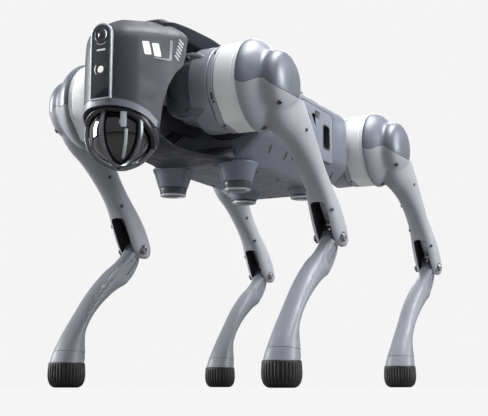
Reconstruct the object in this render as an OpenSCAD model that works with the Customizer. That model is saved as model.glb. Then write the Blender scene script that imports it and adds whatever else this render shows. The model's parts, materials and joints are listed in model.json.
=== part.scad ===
// Quadruped robot dog. +X forward, +Y to the robot's left, +Z up.
// The origin is on the ground, under the centre of the robot's bounding box.

/* [Legs] */
// Distance from the hips' middle to each thigh axis, along X
hip_x = 193.4; // [192:0.1:196]
// Distance from the middle plane to each sideways-swing axis
swing_y = 46.5; // [46:0.1:48]
// Distance from the middle plane to the plane of each leg
leg_y = 142; // [141:0.5:144]
// Length of a thigh, axis to axis
thigh_l = 213; // [205:1:220]
// Length of a calf, knee axis to foot axis
calf_l = 213; // [208:1:220]
// Backward lean of the thigh when the robot stands
thigh_lean = 42; // [40:1:44]
// Forward lean of the calf when the robot stands
calf_lean = 41.3; // [40:0.1:44]

/* [Shoulders] */
// Radius of the pale motor ring on each hip
ring_r = 51; // [50:0.5:52]
// Radius of the knee motor housing on each thigh
housing_r = 54; // [53:0.5:54]
// Radius of the drum that carries the hip about its sideways-swing axis
drum_r = 40; // [36:1:41]
// Radius of the four sideways-swing motors in the trunk
swing_motor_r = 42; // [38:0.5:42]

/* [Knees] */
// Radius of the knee pin
knee_pin_r = 5; // [4:0.5:5]
// Length of the knee crank and of the calf's lever
lever_l = 18; // [17:0.5:18]
// Direction of the crank and the lever when the robot stands, from +X towards +Z
lever_angle = 105; // [100:1:110]
// Radius of the pins at the two ends of the knee rod
rod_pin_r = 3; // [2:0.5:3]

/* [Feet] */
// Height of the foot axis above the ground
foot_h = 20; // [18:1:24]
// Radius of a rubber foot pad
foot_r = 23; // [20:0.5:24]

/* [Trunk] */
// Half the length of the trunk's main shell
trunk_x = 136; // [130:1:136]
// Half the width of the trunk's main shell
trunk_y = 94; // [90:1:95]
// Height of the trunk's underside above the ground
belly_z = 268; // [266:1:272]
// Height of the top of the trunk above the ground
top_z = 405; // [403:1:408]
// Height of the seam between the top shell and the belly shell
seam_z = 374; // [370:1:376]
// Wall thickness of the trunk's shells
wall = 3; // [2:0.5:3]

/* [Head] */
// Distance from the hips' middle to the front of the head shell
head_x = 338; // [334:1:345]
// Half the width of the head shell
head_y = 58; // [54:1:60]
// Height of the head shell's chin above the ground
chin_z = 295; // [294:1:300]
// Height of the head shell's lowest corners, beside the scanner
jaw_z = 272; // [270:1:278]
// Radius of the scanner's dome under the head
dome_r = 36; // [34:1:38]
// Forward lean of the scanner's axis from the vertical
scan_tilt = 36; // [30:1:40]

/* [Battery] */
// Length of the battery pack along the trunk
pack_x = 104; // [90:1:104]
// Height of the battery pack
pack_z = 68; // [60:1:68]
// Size of the threaded payload holes on the back, as a radius
payload_hole_r = 2; // [1.5:0.5:2.5]

/* [Hidden] */
$fn = 48;
run_gap = 0.05;
fit_gap = 0.2;
hip_z = foot_h + thigh_l * cos(thigh_lean) + calf_l * cos(calf_lean);
knee = [-thigh_l * sin(thigh_lean), -thigh_l * cos(thigh_lean)];
foot = knee + calf_l * [sin(calf_lean), -cos(calf_lean)];
lever = lever_l * [cos(lever_angle), sin(lever_angle)];
knee3 = [knee[0], 0, knee[1]];
lever3 = [lever[0], 0, lever[1]];
heel_r = 20;
heel_back = 6;
heel_down = 1;
rear_reach = hip_x - knee[0] + heel_back * cos(thigh_lean) + heel_down * sin(thigh_lean) + heel_r;
panel_front = head_x + 1.5;
mid_x = (rear_reach - panel_front) / 2;

// Places across a leg, measured from the middle plane
barrel_in = 51.5;
ring_in = 88;
ring_out = 112;
housing_in = ring_out + 0.5;
boss_out = 121.5;
rotor_out = 126;
lobe_out = 160;
cheek = 17.7;
calf_half = 13;
slot = 10;
tongue = 9.7;
rod_w = 4.6;
stub_r = 15;
can_r = 36.6;
boss_r = 22;
shaft_r = 12;
seam_drop = -3;

// Places along the trunk
motor_x = [94, 135];
bulkhead_x = 88;
pack_mid_x = -26;
pack_y = [-62, 92];
pack_mid_z = 332;
payload_dx = 160;
payload_dy = 80;
rail_z = 408;
scan_x = head_x - 40;
scan_z = chin_z - 23;
spine_y = 33;
panel_y = 11.5;
eye_z = top_z - 32;
light_z = top_z - 70;

LEGS = ["front_left", "front_right", "rear_left", "rear_right"];
LEG_NODES = ["hip_bracket", "thigh_motor", "thigh_inner_shell", "thigh_outer_shell", "shoulder_cap",
    "leg_fasteners", "knee_crank", "knee_rod", "calf_shell", "foot_pad"];
TRUNK_NODES = ["trunk_frame", "swing_motors", "top_shell", "belly_shell", "head_shell", "rear_cover",
    "face_panel", "camera_lens", "headlight_lens", "lidar_base", "lidar_guard", "lidar_dome",
    "lidar_rotor", "belly_pads", "payload_rails", "main_board", "shell_screws", "battery_pack",
    "battery_latch", "power_button"];

// ---- helpers ----

// A cylinder along X, from x0 to x1
module rod_x(r, x0, x1, y = 0, z = 0) {
    translate([x0, y, z]) rotate([0, 90, 0]) cylinder(r = r, h = x1 - x0);
}

// A cylinder along Y, from y0 to y1
module rod_y(r, y0, y1, x = 0, z = 0) {
    translate([x, y0, z]) rotate([-90, 0, 0]) cylinder(r = r, h = y1 - y0);
}

// A 2D outline in the XZ plane, given thickness from y0 to y1
module slab_y(y0, y1) {
    translate([0, y1, 0]) rotate([90, 0, 0]) linear_extrude(y1 - y0) children();
}

// A 2D outline in the YZ plane, given length from x0 to x1
module slab_x(x0, x1) {
    translate([x0, 0, 0]) rotate([90, 0, 90]) linear_extrude(x1 - x0) children();
}

// A box from its lowest corner to its highest
module box(lo, hi) {
    translate(lo) cube(hi - lo);
}

// Everything on one side of the seam between cap and thigh, at the sign of side
module seam_half(side) {
    mid = side > 0 ? 100 + seam_drop + fit_gap : -100 + seam_drop;
    translate([0, 120, mid]) cube([300, 120, 200], center = true);
}

// Puts a left front leg part in its place on one of the four corners
module at_leg(fore, side) {
    translate([fore * hip_x, 0, hip_z]) mirror([0, side > 0 ? 0 : 1, 0]) children();
}

// ---- leg parts, measured from the thigh axis and the middle plane ----

// Swings about X on the trunk and holds the thigh motor; drawn for a front leg
module hip_bracket_body() {
    color("dimgray") difference() {
        union() {
            intersection() {
                rod_x(drum_r, -50, 48, swing_y);
                box([-60, 0, -60], [60, ring_in - 0.5, 60]);
            }
            rod_y(ring_r - 2, barrel_in, ring_in - 0.5);
        }
        rod_y(can_r + 0.4, 40, ring_in);
        rod_x(shaft_r + run_gap, -51, -38, swing_y);
        rod_x(22, 45, 49, swing_y);
    }
}

module hip_bracket(fore) {
    mirror([fore > 0 ? 0 : 1, 0, 0]) hip_bracket_body();
}

module thigh_motor() {
    color("whitesmoke") union() {
        rod_y(ring_r, ring_in, ring_out);
        rod_y(can_r, 44, ring_in);
        rod_y(stub_r, ring_out, ring_out + 8);
    }
}

// The outer surface of the knee motor housing, as radius and place across the leg
function housing_line(d) = [
    [housing_r - 1 - d, housing_in], [housing_r - d, housing_in + 2], [housing_r - d, 121], [48 - d, 131],
    [38.5 - d, 139], [38 - d, 145], [41.5 - d, 150], [41 - d, 154], [34 - d, lobe_out - d]];

module housing_skin(d) {
    points = concat([[0, housing_in]], housing_line(d), [[0, lobe_out - d]]);
    rotate([-90, 0, 0]) rotate_extrude() polygon(points);
}

// Side outline of the thigh: front edge down to the knee, round the heel and up the back
module thigh_outline(d = 0) {
    rotate(-thigh_lean) offset(delta = -d) union() {
        polygon([[0, 5], [43, -8], [31, -39], [14, -73], [6, -108], [3, -136], [4, -163], [9, -186],
            [12, -205], [8, -217], [-25, -211], [-28, -198], [-28, -178], [-26, -150], [-26, -100],
            [-29, -77], [-33, -43], [-38, 0]]);
        translate([-heel_back, -heel_down - thigh_l]) circle(r = heel_r);
    }
}

// Cheek-to-cheek space inside the thigh for the crank, the rod and the calf's tongue
module thigh_pocket() {
    rod_y(27, rotor_out + 3.6, leg_y + slot);
    slab_y(leg_y - slot, leg_y + slot) {
        rotate(-thigh_lean) {
            polygon([[-26, 5], [24, 5], [24, -20], [6, -70], [1, -100], [0, -138], [40, -150], [40, -240],
                [-20, -240], [-24.3, -219], [-24.3, -190], [-23, -150], [-23.5, -30]]);
        }
    }
}

module thigh_half_cuts() {
    thigh_pocket();
    rod_y(knee_pin_r + fit_gap / 10, leg_y - 30, leg_y + 30, knee[0], knee[1]);
    for (s = screw_places) rod_y(1.6, leg_y - 30, leg_y + 30, s[0], s[1]);
}

// Screws that hold the two thigh halves together, along the thigh and in front of its middle line
screw_places = [for (p = [[-20, -60], [-22, -150]])
    [p[0] * cos(thigh_lean) + p[1] * sin(thigh_lean), -p[0] * sin(thigh_lean) + p[1] * cos(thigh_lean)]];

module thigh_inner_shell() {
    color("lightsteelblue") difference() {
        union() {
            intersection() {
                housing_skin(0);
                union() {
                    seam_half(-1);
                    box([-60, housing_in, -60], [60, housing_in + 3.5, 60]);
                }
                box([-60, ring_out, -60], [60, leg_y - run_gap, 60]);
            }
            difference() {
                slab_y(leg_y - cheek, leg_y - run_gap) thigh_outline();
                box([-60, 90, seam_drop], [60, 170, 60]);
            }
        }
        difference() {
            rod_y(housing_r - 5, housing_in + 3.5, rotor_out + 1);
            rod_y(boss_r, housing_in, boss_out);
        }
        rod_y(stub_r + run_gap, ring_out, ring_out + 9);
        rod_y(13, rotor_out, rotor_out + 4);
        thigh_half_cuts();
    }
}

module thigh_outer_shell() {
    color("lightsteelblue") difference() {
        union() {
            intersection() {
                housing_skin(0);
                seam_half(-1);
                box([-60, leg_y + run_gap, -60], [60, lobe_out + 1, 60]);
            }
            difference() {
                slab_y(leg_y + run_gap, leg_y + cheek) thigh_outline();
                box([-60, 90, seam_drop], [60, 170, 60]);
            }
        }
        thigh_half_cuts();
    }
}

module shoulder_cap() {
    color("slategray") difference() {
        intersection() {
            housing_skin(0);
            seam_half(1);
            box([-60, housing_in + 3.7, -60], [60, lobe_out + 1, 60]);
        }
        rod_y(housing_r - 4, housing_in, rotor_out - 3);
        rod_y(boss_r + 1, housing_in, rotor_out);
        rod_y(37, rotor_out - 4, rotor_out + 1.2);
        rod_y(34, rotor_out, leg_y + slot);
    }
}

module leg_fasteners() {
    color("gainsboro") {
        rod_y(knee_pin_r, leg_y - cheek, leg_y + cheek, knee[0], knee[1]);
        rod_y(7, leg_y + cheek, leg_y + cheek + 2.2, knee[0], knee[1]);
        rod_y(7, leg_y - cheek - 2.2, leg_y - cheek, knee[0], knee[1]);
    }
    color("dimgray") for (s = screw_places) {
        rod_y(1.5, leg_y - cheek, leg_y - slot - 1, s[0], s[1]);
        rod_y(3, leg_y - cheek - 1.2, leg_y - cheek, s[0], s[1]);
    }
}

// Output of the knee motor: rotor, hub, arm and the pin that drives the rod
module knee_crank() {
    color("dimgray") difference() {
        union() {
            rod_y(36.5, housing_in + 5, rotor_out);
            rod_y(12, rotor_out - 1, rotor_out + 5);
            slab_y(rotor_out + 4, leg_y - rod_w - 0.4) hull() {
                circle(r = 14);
                translate(lever) circle(r = 6);
            }
            rod_y(rod_pin_r, leg_y - rod_w - 1, leg_y + rod_w + 0.5, lever[0], lever[1]);
        }
        rod_y(boss_r + run_gap, housing_in, boss_out + 0.5);
    }
}

// Push rod inside the thigh, parallel to it; its lower eye has a free fit on the calf's lever pin
module knee_rod() {
    color("silver") difference() {
        union() {
            slab_y(leg_y - rod_w, leg_y + rod_w) hull() {
                translate(lever) circle(r = 4);
                translate(lever + knee) circle(r = 4);
            }
            for (p = [lever, lever + knee]) rod_y(5.4, leg_y - rod_w, leg_y + rod_w, p[0], p[1]);
        }
        rod_y(rod_pin_r + run_gap, leg_y - 9, leg_y + 9, lever[0], lever[1]);
        rod_y(rod_pin_r + fit_gap, leg_y - 9, leg_y + 9, knee[0] + lever[0], knee[1] + lever[1]);
    }
}

// An outline in the calf's own direction: origin at the knee axis, front edge towards +X
module along_calf() {
    translate(knee) rotate(calf_lean) children();
}

// Tongue between the thigh's cheeks, body, curved ankle and a stud for the foot pad
module calf_shell() {
    color("lightsteelblue") union() {
        difference() {
            union() {
                slab_y(leg_y - tongue, leg_y + tongue) along_calf()
                    polygon([[0, -7], [8, -7], [15, -45], [18, -56], [-9, -56], [-9, -20]]);
                slab_y(leg_y - calf_half, leg_y + calf_half) {
                    along_calf() polygon([[17, -50], [22, -70], [27, -100], [27, -190], [6, -190],
                        [10, -175], [15, -160], [14, -130], [10, -104], [2, -78], [-9, -52]]);
                    translate(foot) polygon([[-19, 10], [19, 10], [12, 24], [-2, 46], [-22, 46], [-22, 20]]);
                }
                rod_y(8.8, leg_y - tongue, leg_y + tongue, knee[0], knee[1]);
                slab_y(leg_y - tongue, leg_y - rod_w - 0.4) translate(knee) hull() {
                    circle(r = 11);
                    translate(lever) circle(r = 6);
                }
                translate(knee3 + lever3) rod_y(rod_pin_r, leg_y - rod_w - 1, leg_y + rod_w + 0.5);
            }
            rod_y(knee_pin_r + run_gap, leg_y - 20, leg_y + 20, knee[0], knee[1]);
            box([-150, 100, -hip_z - 1], [60, 180, foot[1] + 10]);
        }
        translate([foot[0], leg_y, foot[1] - 6]) cylinder(r = 9, h = 20);
    }
}

module foot_pad() {
    color([0.06, 0.06, 0.07]) difference() {
        translate([foot[0], leg_y, -hip_z]) rotate_extrude()
            polygon([[0, 0], [foot_r - 6, 0], [foot_r - 2, 2], [foot_r, 7], [foot_r - 0.5, 20],
                [foot_r - 4, foot_h + 9.8], [0, foot_h + 9.8]]);
        translate([foot[0], leg_y, foot[1] - 6.2]) cylinder(r = 9.1, h = 30);
    }
}

// ---- trunk parts, measured from the hips' middle and the ground ----

// Cross-section of the trunk, d millimetres inside its skin
module trunk_section(d = 0) {
    offset(delta = -d) polygon([[-60, belly_z], [60, belly_z], [trunk_y, 300], [trunk_y, seam_z + 3],
        [72, top_z - 8], [40, top_z], [-40, top_z], [-72, top_z - 8], [-trunk_y, seam_z + 3],
        [-trunk_y, 300]]);
}

// Front and rear copies of something drawn for the front
module both_ends() {
    children();
    mirror([1, 0, 0]) children();
}

// Left and right copies of something drawn on the left
module both_sides() {
    children();
    mirror([0, 1, 0]) children();
}

module trunk_frame() {
    color("silver") union() {
        box([-130, -50, belly_z + wall + 0.2], [130, 50, belly_z + wall + 5]);
        both_ends() {
            slab_x(bulkhead_x, motor_x[0] - 1)
                polygon([[-54, belly_z + wall + 1], [54, belly_z + wall + 1], [86, 303], [86, seam_z - 2],
                    [-86, seam_z - 2], [-86, 303]]);
            box([bulkhead_x, -4, 300], [250, 4, top_z - 6]);
            box([250, -spine_y + 4, 312], [254, spine_y - 4, top_z - 6]);
        }
    }
}

module swing_motors() {
    color("dimgray") both_ends() both_sides() {
        rod_x(swing_motor_r, motor_x[0] - 1, motor_x[1], swing_y, hip_z);
        rod_x(shaft_r, motor_x[1] - 1, hip_x - 39, swing_y, hip_z);
    }
}

// Upper half of the trunk's skin with a narrow tail between the rear hips
module top_shell() {
    color("slategray") union() {
        difference() {
            slab_x(-trunk_x, trunk_x) intersection() {
                trunk_section();
                translate([-100, seam_z]) square([200, 60]);
            }
            slab_x(-trunk_x + wall, trunk_x - wall) intersection() {
                trunk_section(wall);
                translate([-100, seam_z - 1]) square([200, 60]);
            }
            both_ends() both_sides() rod_x(swing_motor_r + 0.5, trunk_x - 5, trunk_x + 1, swing_y, hip_z);
            both_ends() box([trunk_x - 5, -4.5, 280], [trunk_x + 1, 4.5, top_z - 5.5]);
        }
        box([-254, -spine_y, top_z - 5.5], [-trunk_x + 1, spine_y, top_z]);
    }
}

// Lower half of the trunk's skin, with the battery's doorway on the left
module belly_shell() {
    color("slategray") difference() {
        slab_x(-trunk_x, trunk_x) intersection() {
            trunk_section();
            translate([-100, 200]) square([200, seam_z - 200 - 0.3]);
        }
        slab_x(-trunk_x + wall, trunk_x - wall) intersection() {
            trunk_section(wall);
            translate([-100, 200]) square([200, 200]);
        }
        both_ends() both_sides() rod_x(swing_motor_r + 0.5, trunk_x - 5, trunk_x + 1, swing_y, hip_z);
        both_ends() box([trunk_x - 5, -4.5, 290], [trunk_x + 1, 4.5, 400]);
        box([pack_mid_x - pack_x / 2 - 0.5, 60, pack_mid_z - pack_z / 2 - 0.5],
            [pack_mid_x + pack_x / 2 + 0.5, 120, pack_mid_z + pack_z / 2 + 0.5]);
        for (p = belly_screw_places) translate([p[0], p[1], belly_z - 1]) cylinder(r = 1.7, h = 20);
    }
}

// Outline of the head from the side, d millimetres inside its skin
module head_side(d = 0) {
    offset(delta = -d) polygon([[250, top_z], [290, top_z - 2], [320, top_z - 10], [333, top_z - 22],
        [head_x, top_z - 45], [head_x, chin_z + 2], [head_x - 4, chin_z - 2], [316, jaw_z],
        [308, jaw_z + 2], [298, 298], [284, 318], [264, 343], [252, 366], [250, 372]]);
}

// Outline of the head from above, d millimetres inside its skin
module head_top(d = 0) {
    offset(delta = -d) hull() {
        translate([head_x - 46, 0]) circle(r = 46);
        translate([250, -head_y]) square([20, 2 * head_y]);
    }
}

module head_solid(d, z0, z1) {
    intersection() {
        slab_y(-head_y, head_y) head_side(d);
        translate([0, 0, z0]) linear_extrude(z1 - z0) head_top(d);
    }
}

// Hood over the front of the robot, open below and behind
module head_shell() {
    color("slategray") union() {
        difference() {
            head_solid(0, 250, 450);
            difference() {
                head_solid(wall, 250, 450);
                box([head_x - 8, -14, 250], [head_x, 14, 450]);
            }
            slab_y(-head_y + wall, head_y - wall) intersection() {
                head_side(-2);
                union() {
                    translate([240, 250]) square([head_x - 244, 110]);
                    translate([240, 250]) square([24, top_z - 255.5]);
                }
            }
            slab_x(panel_front - 4, head_x + 5) face_outline(0.2);
            rod_x(7.2, head_x - 9, head_x, 0, eye_z);
            rod_x(7.7, head_x - 9, head_x, 0, light_z);
        }
        box([trunk_x + 0.3, -spine_y, top_z - 5.5], [252, spine_y, top_z]);
    }
}

// Upright window with a round top, seen from the front
module face_outline(d = 0) {
    offset(delta = d) union() {
        translate([0, top_z - 32]) circle(r = panel_y);
        translate([-panel_y, chin_z + 10]) square([2 * panel_y, top_z - 32 - chin_z - 10]);
    }
}

module face_panel() {
    color([0.12, 0.12, 0.13]) difference() {
        slab_x(panel_front - 3.8, panel_front) face_outline();
        rod_x(7.2, panel_front - 5, panel_front + 1, 0, eye_z);
        rod_x(7.7, panel_front - 5, panel_front + 1, 0, light_z);
    }
}

module camera_lens() {
    color([0.03, 0.03, 0.04]) rod_x(7, panel_front - 8, panel_front - 0.3, 0, eye_z);
}

module headlight_lens() {
    color("white") rod_x(7.5, panel_front - 8, panel_front - 0.3, 0, light_z);
}

// Puts the scanner's parts in place: origin at the dome's centre, +Z along its axis into the head
module at_scan() {
    translate([scan_x, 0, scan_z]) rotate([0, -scan_tilt, 0]) children();
}

// Round base of the scanner, hung from the frame's head plate
module lidar_base() {
    color([0.1, 0.1, 0.11]) difference() {
        union() {
            at_scan() translate([0, 0, 12]) cylinder(r = dome_r + 1 - run_gap, h = 8.6);
            slab_y(-12, 12) polygon([[254, 342], [254, 312], scan_top(-12), scan_top(14), [264, 342]]);
        }
        at_scan() translate([0, 0, 4]) cylinder(r = 4 + run_gap, h = 14);
    }
}

// A point just inside the top of the scanner's base, u along it towards the front, in the XZ plane
function scan_top(u) = [scan_x + u * cos(scan_tilt) - 20 * sin(scan_tilt),
    scan_z + u * sin(scan_tilt) + 20 * cos(scan_tilt)];

// Cage round the scanner: a collar and ribs that meet under the dome
module lidar_guard() {
    color([0.15, 0.15, 0.16]) at_scan() intersection() {
        difference() {
            union() {
                sphere(r = dome_r + 4);
                cylinder(r = dome_r + 4, h = 19.5);
            }
            sphere(r = dome_r + 1);
            cylinder(r = dome_r + 1, h = 30);
        }
        union() {
            translate([0, 0, 14]) cylinder(r = 60, h = 10);
            for (a = [0, 60, 120]) rotate(a) box([-60, -2.5, -60], [60, 2.5, 15]);
        }
    }
}

module lidar_dome() {
    color([0.02, 0.02, 0.03]) at_scan() difference() {
        sphere(r = dome_r - 2);
        sphere(r = dome_r - 4);
        translate([0, 0, 12]) cylinder(r = 60, h = 60);
    }
}

// Spinning mirror and its spindle
module lidar_rotor() {
    color("silver") at_scan() {
        translate([0, 0, 1]) cylinder(r = dome_r - 9, h = 6);
        box([-13, -3, -20], [13, 3, 2]);
        translate([0, 0, 4]) cylinder(r = 4, h = 13.5);
    }
}

// Four tapered pads that the trunk rests on when it lies down
module belly_pads() {
    color([0.35, 0.37, 0.42]) both_sides() {
        translate([110, 45, 236]) cylinder(r1 = 15.5, r2 = 21, h = belly_z - 236);
        translate([-86, 45, 256]) cylinder(r1 = 16, r2 = 19, h = belly_z - 256);
    }
}

// Plate that closes the tail between the rear hips
module rear_cover() {
    color("slategray") difference() {
        slab_x(-259, -254.2) offset(r = 6) offset(delta = -6)
            polygon([[-spine_y, 312], [spine_y, 312], [spine_y, top_z], [-spine_y, top_z]]);
        for (z = [330, 338, 346]) box([-260, -18, z], [-250, 18, z + 3]);
    }
}

module payload_rails() {
    color("dimgray") difference() {
        both_sides() box([-payload_dx / 2 - 12, payload_dy / 2 - 5, top_z],
            [payload_dx / 2 + 12, payload_dy / 2 + 5, rail_z]);
        for (x = [-1, 1], y = [-1, 1]) translate([x * payload_dx / 2, y * payload_dy / 2, top_z - 1])
            cylinder(r = payload_hole_r, h = 10);
    }
}

module main_board() {
    color("darkgreen") difference() {
        union() {
            box([32, -60, 304], [84, 60, 306]);
            box([40, -30, 306], [76, 20, 318]);
            for (x = [36, 80], y = [-44, 44]) translate([x, y, belly_z + wall + 5])
                cylinder(r = 3, h = 301 - belly_z - wall);
        }
        for (x = [46 : 6 : 70]) box([x, -31, 310], [x + 3, 21, 319]);
    }
}

belly_screw_places = [for (x = [-118, -60, 0, 60, 118], y = [-1, 1]) [x, y * (abs(x) > 100 ? 20 : 48)]];

// Screws that hold the belly shell to the frame
module shell_screws() {
    color("dimgray") for (p = belly_screw_places) translate([p[0], p[1], 0]) {
        translate([0, 0, belly_z - 1.4]) cylinder(r = 3, h = 1.4);
        translate([0, 0, belly_z - 0.2]) cylinder(r = 1.5, h = wall + 0.3);
    }
}

// Slides out of the left flank, with a handle recess in its outer face
module battery_pack() {
    lo = [pack_mid_x - pack_x / 2, pack_y[0], pack_mid_z - pack_z / 2];
    hi = [pack_mid_x + pack_x / 2, pack_y[1], pack_mid_z + pack_z / 2];
    color("lightslategray") difference() {
        box(lo, hi);
        box([pack_mid_x - 44, hi[1] - 14, pack_mid_z - 16], [pack_mid_x - 14, hi[1] + 1, pack_mid_z + 16]);
        rod_y(5.1, hi[1] - 8, hi[1] + 1, pack_mid_x + 30, pack_mid_z + 14);
        box([pack_mid_x - 8.2, hi[1] - 8, pack_mid_z + 19.8],
            [pack_mid_x + 8.2, hi[1] + 1, pack_mid_z + 28.2]);
    }
}

module battery_latch() {
    color([0.15, 0.15, 0.16]) box([pack_mid_x - 8, pack_y[1] - 5, pack_mid_z + 20],
        [pack_mid_x + 8, pack_y[1] + 1, pack_mid_z + 28]);
}

module power_button() {
    color("whitesmoke") rod_y(5, pack_y[1] - 5, pack_y[1] + 0.8, pack_mid_x + 30, pack_mid_z + 14);
}

// ---- one line for each node ----

// Everything is drawn about the hips' middle, then moved so that the bounding box is centred
module in_place() {
    translate([mid_x, 0, 0]) children();
}

in_place() trunk_frame();
in_place() swing_motors();
in_place() top_shell();
in_place() belly_shell();
in_place() head_shell();
in_place() rear_cover();
in_place() face_panel();
in_place() camera_lens();
in_place() headlight_lens();
in_place() lidar_base();
in_place() lidar_guard();
in_place() lidar_dome();
in_place() lidar_rotor();
in_place() belly_pads();
in_place() payload_rails();
in_place() main_board();
in_place() shell_screws();
in_place() battery_pack();
in_place() battery_latch();
in_place() power_button();
in_place() at_leg(1, 1) hip_bracket(1);  // front_left_hip_bracket
in_place() at_leg(1, 1) thigh_motor();  // front_left_thigh_motor
in_place() at_leg(1, 1) thigh_inner_shell();  // front_left_thigh_inner_shell
in_place() at_leg(1, 1) thigh_outer_shell();  // front_left_thigh_outer_shell
in_place() at_leg(1, 1) shoulder_cap();  // front_left_shoulder_cap
in_place() at_leg(1, 1) leg_fasteners();  // front_left_leg_fasteners
in_place() at_leg(1, 1) knee_crank();  // front_left_knee_crank
in_place() at_leg(1, 1) knee_rod();  // front_left_knee_rod
in_place() at_leg(1, 1) calf_shell();  // front_left_calf_shell
in_place() at_leg(1, 1) foot_pad();  // front_left_foot_pad
in_place() at_leg(1, -1) hip_bracket(1);  // front_right_hip_bracket
in_place() at_leg(1, -1) thigh_motor();  // front_right_thigh_motor
in_place() at_leg(1, -1) thigh_inner_shell();  // front_right_thigh_inner_shell
in_place() at_leg(1, -1) thigh_outer_shell();  // front_right_thigh_outer_shell
in_place() at_leg(1, -1) shoulder_cap();  // front_right_shoulder_cap
in_place() at_leg(1, -1) leg_fasteners();  // front_right_leg_fasteners
in_place() at_leg(1, -1) knee_crank();  // front_right_knee_crank
in_place() at_leg(1, -1) knee_rod();  // front_right_knee_rod
in_place() at_leg(1, -1) calf_shell();  // front_right_calf_shell
in_place() at_leg(1, -1) foot_pad();  // front_right_foot_pad
in_place() at_leg(-1, 1) hip_bracket(-1);  // rear_left_hip_bracket
in_place() at_leg(-1, 1) thigh_motor();  // rear_left_thigh_motor
in_place() at_leg(-1, 1) thigh_inner_shell();  // rear_left_thigh_inner_shell
in_place() at_leg(-1, 1) thigh_outer_shell();  // rear_left_thigh_outer_shell
in_place() at_leg(-1, 1) shoulder_cap();  // rear_left_shoulder_cap
in_place() at_leg(-1, 1) leg_fasteners();  // rear_left_leg_fasteners
in_place() at_leg(-1, 1) knee_crank();  // rear_left_knee_crank
in_place() at_leg(-1, 1) knee_rod();  // rear_left_knee_rod
in_place() at_leg(-1, 1) calf_shell();  // rear_left_calf_shell
in_place() at_leg(-1, 1) foot_pad();  // rear_left_foot_pad
in_place() at_leg(-1, -1) hip_bracket(-1);  // rear_right_hip_bracket
in_place() at_leg(-1, -1) thigh_motor();  // rear_right_thigh_motor
in_place() at_leg(-1, -1) thigh_inner_shell();  // rear_right_thigh_inner_shell
in_place() at_leg(-1, -1) thigh_outer_shell();  // rear_right_thigh_outer_shell
in_place() at_leg(-1, -1) shoulder_cap();  // rear_right_shoulder_cap
in_place() at_leg(-1, -1) leg_fasteners();  // rear_right_leg_fasteners
in_place() at_leg(-1, -1) knee_crank();  // rear_right_knee_crank
in_place() at_leg(-1, -1) knee_rod();  // rear_right_knee_rod
in_place() at_leg(-1, -1) calf_shell();  // rear_right_calf_shell
in_place() at_leg(-1, -1) foot_pad();  // rear_right_foot_pad
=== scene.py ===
import json
import math

import bmesh
import bpy
from mathutils import Matrix, Vector
from mathutils.bvhtree import BVHTree

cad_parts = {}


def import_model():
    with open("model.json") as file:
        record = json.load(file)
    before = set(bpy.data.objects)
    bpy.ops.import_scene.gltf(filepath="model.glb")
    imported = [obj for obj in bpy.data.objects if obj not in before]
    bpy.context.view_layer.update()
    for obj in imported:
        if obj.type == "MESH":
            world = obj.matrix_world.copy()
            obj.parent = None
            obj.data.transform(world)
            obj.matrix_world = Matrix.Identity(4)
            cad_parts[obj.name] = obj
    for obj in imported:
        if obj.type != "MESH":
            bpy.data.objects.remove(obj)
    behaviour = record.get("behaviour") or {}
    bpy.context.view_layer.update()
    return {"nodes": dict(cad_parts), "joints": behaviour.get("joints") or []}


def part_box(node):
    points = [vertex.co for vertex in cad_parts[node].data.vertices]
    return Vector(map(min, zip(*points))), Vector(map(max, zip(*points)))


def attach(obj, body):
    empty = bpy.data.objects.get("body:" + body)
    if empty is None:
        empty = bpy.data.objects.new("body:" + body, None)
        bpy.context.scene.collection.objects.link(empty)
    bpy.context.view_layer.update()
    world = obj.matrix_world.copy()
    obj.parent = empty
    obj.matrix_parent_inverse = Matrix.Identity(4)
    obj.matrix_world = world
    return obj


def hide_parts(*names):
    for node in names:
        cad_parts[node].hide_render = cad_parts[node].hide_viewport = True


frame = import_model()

# Lengths are in millimetres until put() or mesh_of() turns them into Blender's metres.
MM = 0.001


# ---------------------------------------------------------------- places taken from the frame

def joint(name):
    return next(j for j in frame["joints"] if j["name"] == name)


def joint_at(name):
    return Vector(joint(name)["pos_m"]) / MM


def box_of(node):
    low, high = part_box(node)
    return low / MM, high / MM


AXIS = joint_at("front_left_thigh")
MID_X = (AXIS.x + joint_at("rear_left_thigh").x) / 2
HIP_X = AXIS.x - MID_X
HIP_Z = AXIS.z
LEG_Y = AXIS.y
SWING_Y = joint_at("front_left_swing").y
KNEE = joint_at("front_left_knee") - AXIS
PAD_LOW, PAD_HIGH = box_of("front_left_foot_pad")
FOOT_X = (PAD_LOW.x + PAD_HIGH.x) / 2 - AXIS.x
PAD_TOP = PAD_HIGH.z
TRUNK_LOW, TRUNK_HIGH = box_of("belly_shell")
TRUNK_X = TRUNK_HIGH.x - MID_X
TRUNK_Y = TRUNK_HIGH.y
BELLY_Z = TRUNK_LOW.z
SEAM_Z = TRUNK_HIGH.z
TOP_Z = box_of("top_shell")[1].z
HEAD_HIGH = box_of("head_shell")[1]
HEAD_X = HEAD_HIGH.x - MID_X
HEAD_Y = HEAD_HIGH.y
PANEL_X = box_of("face_panel")[1].x - MID_X
RING_OUT = box_of("front_left_thigh_inner_shell")[0].y - 0.5
LOBE_OUT = box_of("front_left_shoulder_cap")[1].y
SCAN = joint_at("lidar_spin") - Vector((MID_X, 0, 0))
SCAN_AXIS = Vector(joint("lidar_spin")["axis"])
SCAN_TILT = math.atan2(-SCAN_AXIS.x, SCAN_AXIS.z)
# name: (1 in front or -1 behind, 1 on the left or -1 on the right)
LEGS = {"front_left": (1, 1), "front_right": (1, -1), "rear_left": (-1, 1), "rear_right": (-1, -1)}


def side_of(node):
    """Middle (x, z) of a node seen from the side, with x counted from the hips' middle."""
    low, high = box_of(node)
    return (low.x + high.x) / 2 - MID_X, (low.z + high.z) / 2


# ---------------------------------------------------------------- materials

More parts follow.
